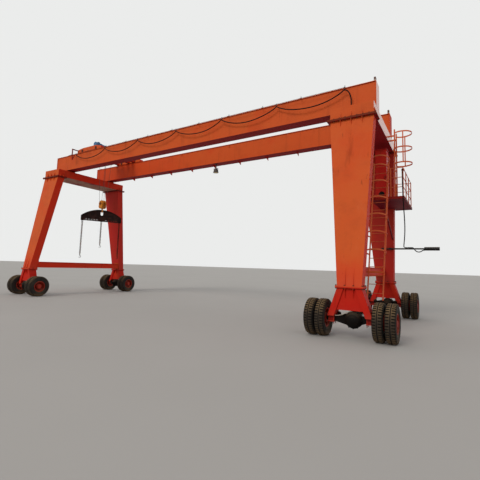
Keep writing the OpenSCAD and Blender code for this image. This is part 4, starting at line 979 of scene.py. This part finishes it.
class CRANE_OT_hoist_ropes(bpy.types.Operator):
    """Lays the four stranded falls of the hoist rope, the turns on the drum and the bights round the sheaves"""
    bl_idname = "crane.hoist_ropes"
    bl_label = "Lay the ropes"

    def execute(self, context):
        d = sizes().rope
        shape, bights, wound = Shape(), Shape(), Shape()
        hung = falls()
        for right, foot, top in hung:
            shape.add(strand(foot, top, d))
        made = shape.object("stranded_ropes", "rope_steel", None, "rope_steel", ("hoist_ropes",), smooth=60)
        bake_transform(made)
        left, right = [[foot for side, foot, top in hung if side is one] for one in (False, True)]
        for one, other in zip(left, right):
            half = (other - one) / 2
            route = []
            for i in range(25):
                a = -math.pi * i / 24
                route.append(one + half + Vector((half.x * math.cos(a), half.y * math.cos(a), half.x * math.sin(a))))
            bights.add(bent_bar(route, d))
        bights.object("rope_bights", "rope_steel", "hook_block", "rope_steel", smooth=60)
        drum_low, drum_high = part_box("rope_drum")
        middle = (drum_low + drum_high) / 2
        reach = (hung[2][2].x - hung[0][2].x) / 2
        turns = (WOUND_FROM - WOUND_TO) / DRUM_PITCH
        for side in (-1, 1):
            wound.add(coil(reach, d, side * WOUND_FROM, side * WOUND_TO, turns, (middle.x, 0, middle.z), side))
        wound.object("drum_winding", "rope_steel", "trolley", "rope_steel", smooth=60)
        return {"FINISHED"}


class CRANE_OT_supply_cable(bpy.types.Operator):
    """Leads the supply cable from the railing's fitting down to the arm, along it and into its sleeve"""
    bl_idname = "crane.supply_cable"
    bl_label = "Lead the supply cable"

    def execute(self, context):
        route = [Vector((x * MM + STAND_X, y * MM, z * MM)) for x, y, z in SUPPLY_ROUTE]
        shape, path = Shape(), smooth_route(route, 4)
        shape.add(bent_bar(path, SUPPLY_D, 14))
        cable = shape.object("supply_cable_run", "cable_rubber", "crane_frame", "cable_rubber", ("supply_cable",),
                             smooth=60)
        run_length(path)
        ties = Shape()
        for i in SUPPLY_TIES:
            ties.ring(SUPPLY_D + 0.004, 0.007, route[i], route[i + 1] - route[i - 1], 20, 6)
            ties.block((-0.007, -SUPPLY_D / 2 - 0.012, -0.006), (0.007, -SUPPLY_D / 2 + 0.002, 0.006), 0.002,
                       route[i])
        ties.lathe(((0, 0.0), (0.030, 0.0), (0.030, 0.012), (0.024, 0.016), (0.024, 0.036), (0.019, 0.046),
                    (0.0185, 0.050), (0, 0.050)), route[0] + Vector((0, 0.006, 0)), (0, -1, 0), 6)
        ties.lathe(((0, 0), (0.030, 0.0), (0.030, 0.014), (0.0185, 0.024), (0, 0.024)),
                   route[-1] + Vector((0.002, 0, 0)), (-1, 0, 0), 12)
        ties.object("supply_cable_ties", "arm_black", "crane_frame", "black_steel")
        return {"FINISHED"}


class CRANE_OT_festoon(bpy.types.Operator):
    """Strings the festoon's wire with its brackets, and hangs the cable in loops from its clips"""
    bl_idname = "crane.festoon"
    bl_label = "Hang the festoon"

    def execute(self, context):
        left, right = FESTOON_LEFT + STAND_X, FESTOON_RIGHT + STAND_X
        run = (right - left) / FESTOON_SPANS
        route = []
        for i in range(FESTOON_SPANS * 24 + 1):
            u = i / 24
            t = u - math.floor(u)
            sag = FESTOON_SAG * abs(4 * t * (1 - t)) ** 0.85
            route.append(Vector((left + run * u, WIRE_Y + 0.012 * math.sin(9.0 * u), HANG_Z - sag)))
        drop = [(8.28, WIRE_Y + 0.01, HANG_Z - 0.03), (8.36, WIRE_Y + 0.025, HANG_Z - 0.14),
                (8.405, WIRE_Y + 0.04, HANG_Z - 0.30), (8.415, WIRE_Y + 0.05, HANG_Z - 0.48),
                (8.415, WIRE_Y + 0.05, CROSS_TOP_Z + 0.02)]
        tail = smooth_route([route[-1]] + [Vector((x + STAND_X, y, z)) for x, y, z in drop], 5)
        shape = Shape()
        shape.add(bent_bar(route + tail[1:], FESTOON_D, 12))
        cable = shape.object("festoon_cable_run", "cable_rubber", None, "cable_rubber", ("festoon_cable",),
                             smooth=60)
        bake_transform(cable)
        clips = Shape()
        for i in range(FESTOON_SPANS + 1):
            at = Vector((left + run * i, WIRE_Y, 0))
            clips.ring(FESTOON_D + 0.006, 0.010, at + UP * HANG_Z, (1, 0, 0), 20, 6)
            clips.block((-0.012, -0.004, HANG_Z + 0.018), (0.012, 0.004, WIRE_Z - 0.012), 0.001, at)
            clips.ring(0.030, 0.006, at + UP * WIRE_Z, (1, 0, 0), 16, 6)
            clips.lathe(((0, 0), (0.011, 0), (0.011, 0.010), (0, 0.010)),
                        at + Vector((0, -0.005, WIRE_Z + 0.012)), (0, 1, 0), 12)
        made = clips.object("festoon_clips", "arm_black", None, "black_steel")
        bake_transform(made)
        line = Shape()
        first = right - (BRACKETS - 1) * BRACKET_PITCH
        line.rod((first - 0.04, WIRE_Y, WIRE_Z), (right + 0.04, WIRE_Y, WIRE_Z), 0.012, 10)
        low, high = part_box("front_girder")
        for i in range(BRACKETS):
            x = first + i * BRACKET_PITCH
            route = [(x, low.y + 0.058, high.z + 0.011), (x, low.y - 0.004, high.z + 0.011),
                     (x, (low.y + WIRE_Y) / 2, (high.z + WIRE_Z) / 2 + 0.004), (x, WIRE_Y, WIRE_Z + 0.004)]
            line.add(bent_bar(route, 0.020, 8))
            line.block((-0.022, 0.006, 0), (0.022, 0.062, 0.006), 0.001, (x, low.y, high.z))
            line.rod((x - 0.012, low.y + 0.022, high.z), (x - 0.012, low.y + 0.022, high.z + 0.085), 0.022, 8)
            line.ring(0.022, 0.008, (x, WIRE_Y, WIRE_Z), (1, 0, 0), 12, 6)
        line.object("festoon_wire", "arm_black", "crane_frame", "black_steel", ("festoon_line",))
        return {"FINISHED"}


class CRANE_OT_cabinet(bpy.types.Operator):
    """Adds the cabinet's door frame, hinges, side panels, handle and vent"""
    bl_idname = "crane.cabinet"
    bl_label = "Fit the cabinet"

    def execute(self, context):
        low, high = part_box("control_cabinet")
        x0, x1, face = low.x + 0.02, high.x - 0.02, low.y + 0.028
        z0, z1 = low.z + 0.08, high.z - 0.08
        paint = Shape()
        for a, b, c, d in ((x0 + 0.018, z0 - 0.003, x0 + 0.030, z1 + 0.003),
                           (x1 - 0.030, z0 - 0.003, x1 - 0.018, z1 + 0.003),
                           (x0 + 0.020, z0 - 0.003, x1 - 0.020, z0 + 0.012),
                           (x0 + 0.020, z1 - 0.012, x1 - 0.020, z1 + 0.003)):
            paint.block((a, face - 0.004, b), (c, face + 0.004, d), 0.001)
        for z in (z0 + 0.18, (z0 + z1) / 2, z1 - 0.18):
            hinge = Vector((x0 + 0.006, face, z))
            paint.rod(hinge + Vector((0, -0.010, -0.035)), hinge + Vector((0, -0.010, 0.035)), 0.018, 12)
            paint.block((0, -0.006, -0.025), (0.034, 0.002, 0.025), 0.001, hinge)
        for x in (x0, x1):
            for z in (low.z + 0.25, (low.z + high.z) / 2, high.z - 0.25):
                paint.block((x - 0.004, low.y + 0.10, z - 0.10), (x + 0.004, high.y - 0.08, z + 0.10), 0.002)
        paint.object("cabinet_fittings", "cabinet_paint", "crane_frame", "red_paint")
        dark = Shape()
        out = Vector((0, -1, 0))
        fan = Vector(((x0 + x1) / 2 + 0.02, face, z0 + 0.15))
        dark.lathe(((0.088, 0.0), (0.098, 0.003), (0.098, 0.010), (0.090, 0.014), (0.086, 0.010)), fan, out, 40)
        for i in range(4):
            dark.ring(0.040 + 0.038 * i, 0.005, fan + out * 0.010, out, 32, 6)
        for i in range(3):
            a = math.pi * i / 3
            arm = Vector((math.cos(a), 0, math.sin(a))) * 0.088
            dark.rod(fan - arm + out * 0.012, fan + arm + out * 0.012, 0.005, 6)
        dark.lathe(((0, 0.002), (0.086, 0.002), (0.086, 0.0), (0, 0.0)), fan, out, 40)
        handle = Vector((x1 - 0.050, face, z0 + 0.80))
        dark.rod(handle + out * 0.004, handle + out * 0.030, 0.022, 12)
        dark.block((-0.008, -0.036, -0.07), (0.008, -0.024, 0.03), 0.003, handle)
        dark.object("cabinet_vent", "arm_black", "crane_frame", "black_steel")
        return {"FINISHED"}


class CRANE_OT_floodlight(bpy.types.Operator):
    """Adds the floodlight's lens, bezel, cooling fins, yoke and cable"""
    bl_idname = "crane.floodlight"
    bl_label = "Fit the floodlight"

    def execute(self, context):
        low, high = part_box("floodlight")
        middle = (low + high) / 2
        foot = Vector((middle.x, middle.y, low.z))
        lens = Shape()
        lens.lathe(((0, -0.010), (0.05, -0.009), (0.10, -0.004), (0.122, 0.004), (0, 0.004)), foot + UP * 0.004,
                   UP, 40)
        lens.object("lamp_lens", "lamp_lens", "crane_frame", "lamp_grey")
        shape, fin, lead = Shape(), Shape(), Shape()
        shape.lathe(((0.118, 0.002), (0.138, -0.004), (0.1405, 0.0), (0.1405, 0.022), (0.136, 0.026)), foot, UP, 40)
        fin.block((0.070, -0.002, -0.045), (0.100, 0.002, 0.045))
        shape.add(fin.bm, [stand(foot + UP * 0.115, UP, TWO_PI * i / 12) for i in range(12)])
        for way in (1, -1):
            side = Vector((way, 0, 0))
            shape.block((-0.004, -0.018, 0.035), (0.004, 0.018, 0.225), 0.001, foot + side * 0.128)
            shape.add(hexagon(0.022), [stand(foot + side * 0.132 + UP * 0.055, side)])
        shape.block((-0.132, -0.018, 0.220), (0.132, 0.018, 0.228), 0.001, foot)
        shape.object("lamp_fittings", "lamp_grey", "crane_frame", "lamp_grey")
        bend = ((0.03, 0, 0.205), (0.045, 0, 0.25), (0.05, 0, 0.32), (0.035, 0, 0.40), (0.03, 0, 0.468))
        lead.add(bent_bar(smooth_route([foot + Vector(at) for at in bend], 4), 0.012, 10))
        lead.object("lamp_lead", "cable_rubber", "crane_frame", "cable_rubber", smooth=60)
        return {"FINISHED"}


class CRANE_OT_machine_bolts(bpy.types.Operator):
    """Bolts the winch's gearbox, and clips the rails to the girders"""
    bl_idname = "crane.machine_bolts"
    bl_label = "Bolt the winch"

    def execute(self, context):
        low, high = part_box("hoist_gearbox")
        deck, split = low.z + 0.040, low.z + 0.30
        places = []
        for x in (low.x + 0.03, low.x + 0.30, low.x + 0.62, high.x - 0.02):
            for y in (low.y + 0.010, high.y - 0.010):
                places.append(stand((min(x, high.x - 0.02), y, deck), UP, x * 9))
        for x in (low.x + 0.12, low.x + 0.32, low.x + 0.52, low.x + 0.72, high.x - 0.10):
            for y, way in ((low.y + 0.02, -1), (high.y - 0.02, 1)):
                places.append(stand((x, y, split), (0, way, 0), x * 5))
        shape = Shape()
        shape.add(hexagon(0.030), places)
        shape.object("winch_bolts", "bolt_steel", "trolley", "bare_steel")
        low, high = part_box("trolley_rails")
        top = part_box("front_girder")[1].z
        spots = [(at.x, side * RAIL_Y, edge) for side in (-1, 1)
                 for at in spread((low.x + 0.35, 0, 0), (high.x - 0.35, 0, 0), CLIPS) for edge in (-1, 1)]
        clips, form = Shape(), Shape()
        form.block((-0.03, -0.022, 0), (0.03, 0.022, 0.016), 0.003)
        clips.add(form.bm, [Matrix.Translation((x, y + edge * CLIP_Y, top)) for x, y, edge in spots])
        clips.add(hexagon(0.024), [stand((x, y + edge * (CLIP_Y + 0.004), top + 0.016), UP)
                                   for x, y, edge in spots])
        clips.object("rail_clips", "bolt_steel", "crane_frame", "bare_steel")
        return {"FINISHED"}


class CRANE_OT_girder_fittings(bpy.types.Operator):
    """Lays weld beads along the girders' flanges, and adds the small lugs on the rear girder's edge"""
    bl_idname = "crane.girder_fittings"
    bl_label = "Weld the girders"

    def execute(self, context):
        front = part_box("front_girder")
        for name, sign in (("front_girder", 1), ("rear_girder", -1)):
            low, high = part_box(name)
            centre = sign * (front[0].y + front[1].y) / 2
            web = high.y - centre - 0.035
            foot = level(name, high.z - GIRDER_H)[0].z
            shape = Shape()
            for side in (-1, 1):
                for z in (foot + FLANGE_MIDDLE, high.z - FLANGE_MIDDLE):
                    y = centre + side * web
                    shape.rod((low.x + 0.014, y, z), (high.x - 0.014, y, z), 0.014, 6)
            if name == "rear_girder":
                for x in LUGS_X:
                    at = Vector((x + STAND_X, low.y, high.z - FLANGE_MIDDLE))
                    shape.block((-0.008, 0.002, -0.11), (0.008, 0.034, 0), 0.002, at)
                    shape.block((-0.035, 0.002, -0.12), (0.035, 0.016, -0.07), 0.002, at)
            shape.object(f"{name}_welds", f"{name}_paint", "crane_frame", "orange_paint")
        return {"FINISHED"}


class CRANE_OT_landing_plate(bpy.types.Operator):
    """Raises the tread pattern on the landing's plate"""
    bl_idname = "crane.landing_plate"
    bl_label = "Tread the landing"

    def execute(self, context):
        low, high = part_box("landing")
        box_low, box_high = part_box("control_cabinet")
        notch_y = min(v.co.y for v in frame["nodes"]["landing"].data.vertices
                      if v.co.y > 1.9 and abs(v.co.z - high.z) < 0.002)
        pitch = 0.052
        places = []
        for i in range(int((high.x - low.x - 0.06) / pitch)):
            for k in range(int((notch_y - 0.02 - low.y - 0.04) / pitch)):
                x, y = low.x + 0.04 + i * pitch, low.y + 0.04 + k * pitch
                under_cabinet = box_low.x - 0.02 < x < box_high.x + 0.02 and 0.58 < y < 1.12
                if not under_cabinet:
                    places.append(stand((x, y, high.z), UP, math.pi / 4 * (1 if (i + k) % 2 else -1)))
        shape = Shape()
        shape.add(lozenge(0.034, 0.011, 0.0025), places)
        shape.object("landing_tread", "landing_paint", "crane_frame", "orange_paint")
        return {"FINISHED"}


class CRANE_OT_hook_fittings(bpy.types.Operator):
    """Adds the hook block's pin nuts and bearing caps, and the hook's latch"""
    bl_idname = "crane.hook_fittings"
    bl_label = "Fit the hook"

    def execute(self, context):
        low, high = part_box("hook_block")
        middle_x = (low.x + high.x) / 2
        pin_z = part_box("hoist_ropes")[0].z
        shape = Shape()
        for side in (-1, 1):
            out = Vector((0, side, 0))
            face = Vector((middle_x, side * high.y, pin_z))
            shape.lathe(((0, 0.0), (0.062, 0.0), (0.062, -0.012), (0.052, -0.016), (0, -0.016)),
                        face - out * 0.018, out, 28)
            shape.add(hexagon(0.046), [stand(face - out * 0.004, out)])
            cheek = Vector((middle_x, side * 0.140, pin_z))
            places = bolt_circle(cheek, out, 0.095, 6)
            places += [stand(cheek + Vector((x, 0, -0.235)), out) for x in (-0.07, 0.07)]
            shape.add(hexagon(0.026), places)
        shape.object("hook_block_bolts", "bolt_steel", "hook_block", "hook_yellow")
        turn = Matrix.Rotation(math.radians(-25), 4, "Z")
        at = Vector((middle_x, 0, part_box("lifting_hook")[1].z - 0.135))
        start, end = at + turn @ Vector((0.020, 0, 0.074)), at + turn @ Vector((0.094, 0, 0.040))
        side = turn @ Vector((0, 0.030, 0))
        latch = Shape()
        for way in (-1, 1):
            latch.rod(start + side * 0.5 * way, end + side * 0.4 * way, 0.010, 8)
        latch.rod(end - side * 0.55, end + side * 0.55, 0.012, 8)
        latch.rod(start - side * 1.1, start + side * 1.1, 0.014, 10)
        latch.object("hook_latch", "bolt_steel", "hook", "hook_yellow")
        return {"FINISHED"}


class CRANE_OT_trolley_fittings(bpy.types.Operator):
    """Adds the trolley wheels' caps, the drum's bearing cap and its rope clamps"""
    bl_idname = "crane.trolley_fittings"
    bl_label = "Fit the trolley"

    def execute(self, context):
        low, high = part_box("trolley_wheels")
        cap = ((0, 0.018), (0.040, 0.018), (0.050, 0.012), (0.075, 0.012), (0.075, 0.0), (0, 0.0))
        shape = Shape()
        places = []
        for x in (low.x + 0.12, high.x - 0.12):
            for side in (-1, 1):
                for way in (-1, 1):
                    out = Vector((0, way, 0))
                    face = Vector((x, side * RAIL_Y, low.z + 0.12)) + out * 0.130
                    shape.lathe(cap, face, out, 28)
                    places += bolt_circle(face + out * 0.012, out, 0.062, 6, 0.5)
        low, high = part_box("rope_drum")
        drum = Vector(((low.x + high.x) / 2, 0, (low.z + high.z) / 2))
        back = Vector((0, 1, 0))
        shape.lathe(((0.046, 0.0), (0.046, 0.014), (0.086, 0.014), (0.086, 0.0)), drum + back * 0.560, back, 28)
        places += bolt_circle(drum + back * 0.574, back, 0.067, 6)
        for side in (-1, 1):
            for a in (math.radians(70), math.radians(90), math.radians(110)):
                out = Vector((math.cos(a), 0, math.sin(a)))
                places.append(stand(drum + back * (side * 0.345 - 0.01) + out * DRUM_R, out))
        shape.add(hexagon(0.022), places)
        shape.object("trolley_caps", "bolt_steel", "trolley", "bare_steel")
        return {"FINISHED"}


class CRANE_OT_stage(bpy.types.Operator):
    """Sets the floor, the light and the camera"""
    bl_idname = "crane.stage"
    bl_label = "Set the stage"

    def execute(self, context):
        scene, stage, tone = context.scene, context.scene.crane_stage, finish()
        scene.view_settings.view_transform = "Standard"
        look = Paint("floor_pale", tone.ground)
        look.lay(tone.ground_dark, look.noise(0.15, 3.0))
        look.surface(0.9)
        ground = bmesh.new()
        bmesh.ops.create_grid(ground, x_segments=1, y_segments=1, size=400)
        floor = bpy.data.objects.new("floor", bpy.data.meshes.new("floor"))
        ground.to_mesh(floor.data)
        ground.free()
        floor.data.materials.append(look.material)
        scene.collection.objects.link(floor)
        world = bpy.data.worlds.new("sky")
        world.use_nodes = True
        tree = world.node_tree
        tree.nodes.clear()
        rays, either, mix, end = [tree.nodes.new("ShaderNode" + kind)
                                  for kind in ("LightPath", "Math", "MixShader", "OutputWorld")]
        either.operation = "MAXIMUM"
        tree.links.new(rays.outputs["Is Camera Ray"], either.inputs[0])
        tree.links.new(rays.outputs["Is Glossy Ray"], either.inputs[1])
        tree.links.new(either.outputs[0], mix.inputs[0])
        for i, tint, strength in ((1, tone.sky_light, stage.sky), (2, tone.sky_seen, 1.0)):
            sky = tree.nodes.new("ShaderNodeBackground")
            sky.inputs["Color"].default_value = tuple(tint)
            sky.inputs["Strength"].default_value = strength
            tree.links.new(sky.outputs[0], mix.inputs[i])
        tree.links.new(mix.outputs[0], end.inputs["Surface"])
        scene.world = world
        lamp = bpy.data.lights.new("soft_sun", "SUN")
        lamp.energy = stage.sun
        lamp.angle = math.radians(22)
        lamp.color = (1.0, 0.97, 0.93)
        sun = bpy.data.objects.new("soft_sun", lamp)
        sun.rotation_euler = Vector((0.15, 0.82, -0.60)).to_track_quat("-Z", "Y").to_euler()
        scene.collection.objects.link(sun)
        data = bpy.data.cameras.new("camera")
        data.sensor_width = 36
        data.lens = stage.focal
        data.shift_y = stage.shift
        data.clip_end = 2000
        camera = bpy.data.objects.new("camera", data)
        sight = (Matrix.Rotation(stage.heading, 4, "Z") @ Matrix.Rotation(math.pi / 2 + stage.tilt, 4, "X")
                 @ Matrix.Rotation(stage.roll, 4, "Z"))
        camera.matrix_world = Matrix.Translation(Vector(stage.eye) + Vector((STAND_X, 0, 0))) @ sight
        scene.collection.objects.link(camera)
        scene.camera = camera
        return {"FINISHED"}


class CRANE_PT_panel(bpy.types.Panel):
    """Lists the steps in the 3D view's sidebar"""
    bl_idname = "CRANE_PT_panel"
    bl_label = "Gantry Crane"
    bl_space_type = "VIEW_3D"
    bl_region_type = "UI"
    bl_category = "Crane"

    def draw(self, context):
        for step in STEPS:
            self.layout.operator(step.bl_idname)


GROUPS = (CraneFinish, CraneSizes, CraneStage)
STEPS = (CRANE_OT_stage, CRANE_OT_paint, CRANE_OT_tyres, CRANE_OT_flange_bolts, CRANE_OT_wheel_fittings,
         CRANE_OT_axle_fittings, CRANE_OT_lifting_chains, CRANE_OT_hoist_ropes, CRANE_OT_supply_cable,
         CRANE_OT_festoon, CRANE_OT_cabinet, CRANE_OT_floodlight, CRANE_OT_machine_bolts,
         CRANE_OT_girder_fittings, CRANE_OT_landing_plate, CRANE_OT_hook_fittings, CRANE_OT_trolley_fittings)


def register():
    for group in GROUPS + STEPS + (CRANE_PT_panel,):
        bpy.utils.register_class(group)
    bpy.types.Scene.crane_finish = PointerProperty(type=CraneFinish)
    bpy.types.Scene.crane_sizes = PointerProperty(type=CraneSizes)
    bpy.types.Scene.crane_stage = PointerProperty(type=CraneStage)


def unregister():
    del bpy.types.Scene.crane_stage
    del bpy.types.Scene.crane_sizes
    del bpy.types.Scene.crane_finish
    for group in reversed(GROUPS + STEPS + (CRANE_PT_panel,)):
        bpy.utils.unregister_class(group)


def main():
    register()
    for step in STEPS:
        group, name = step.bl_idname.split(".")
        getattr(getattr(bpy.ops, group), name)()


if __name__ == "__main__":
    main()
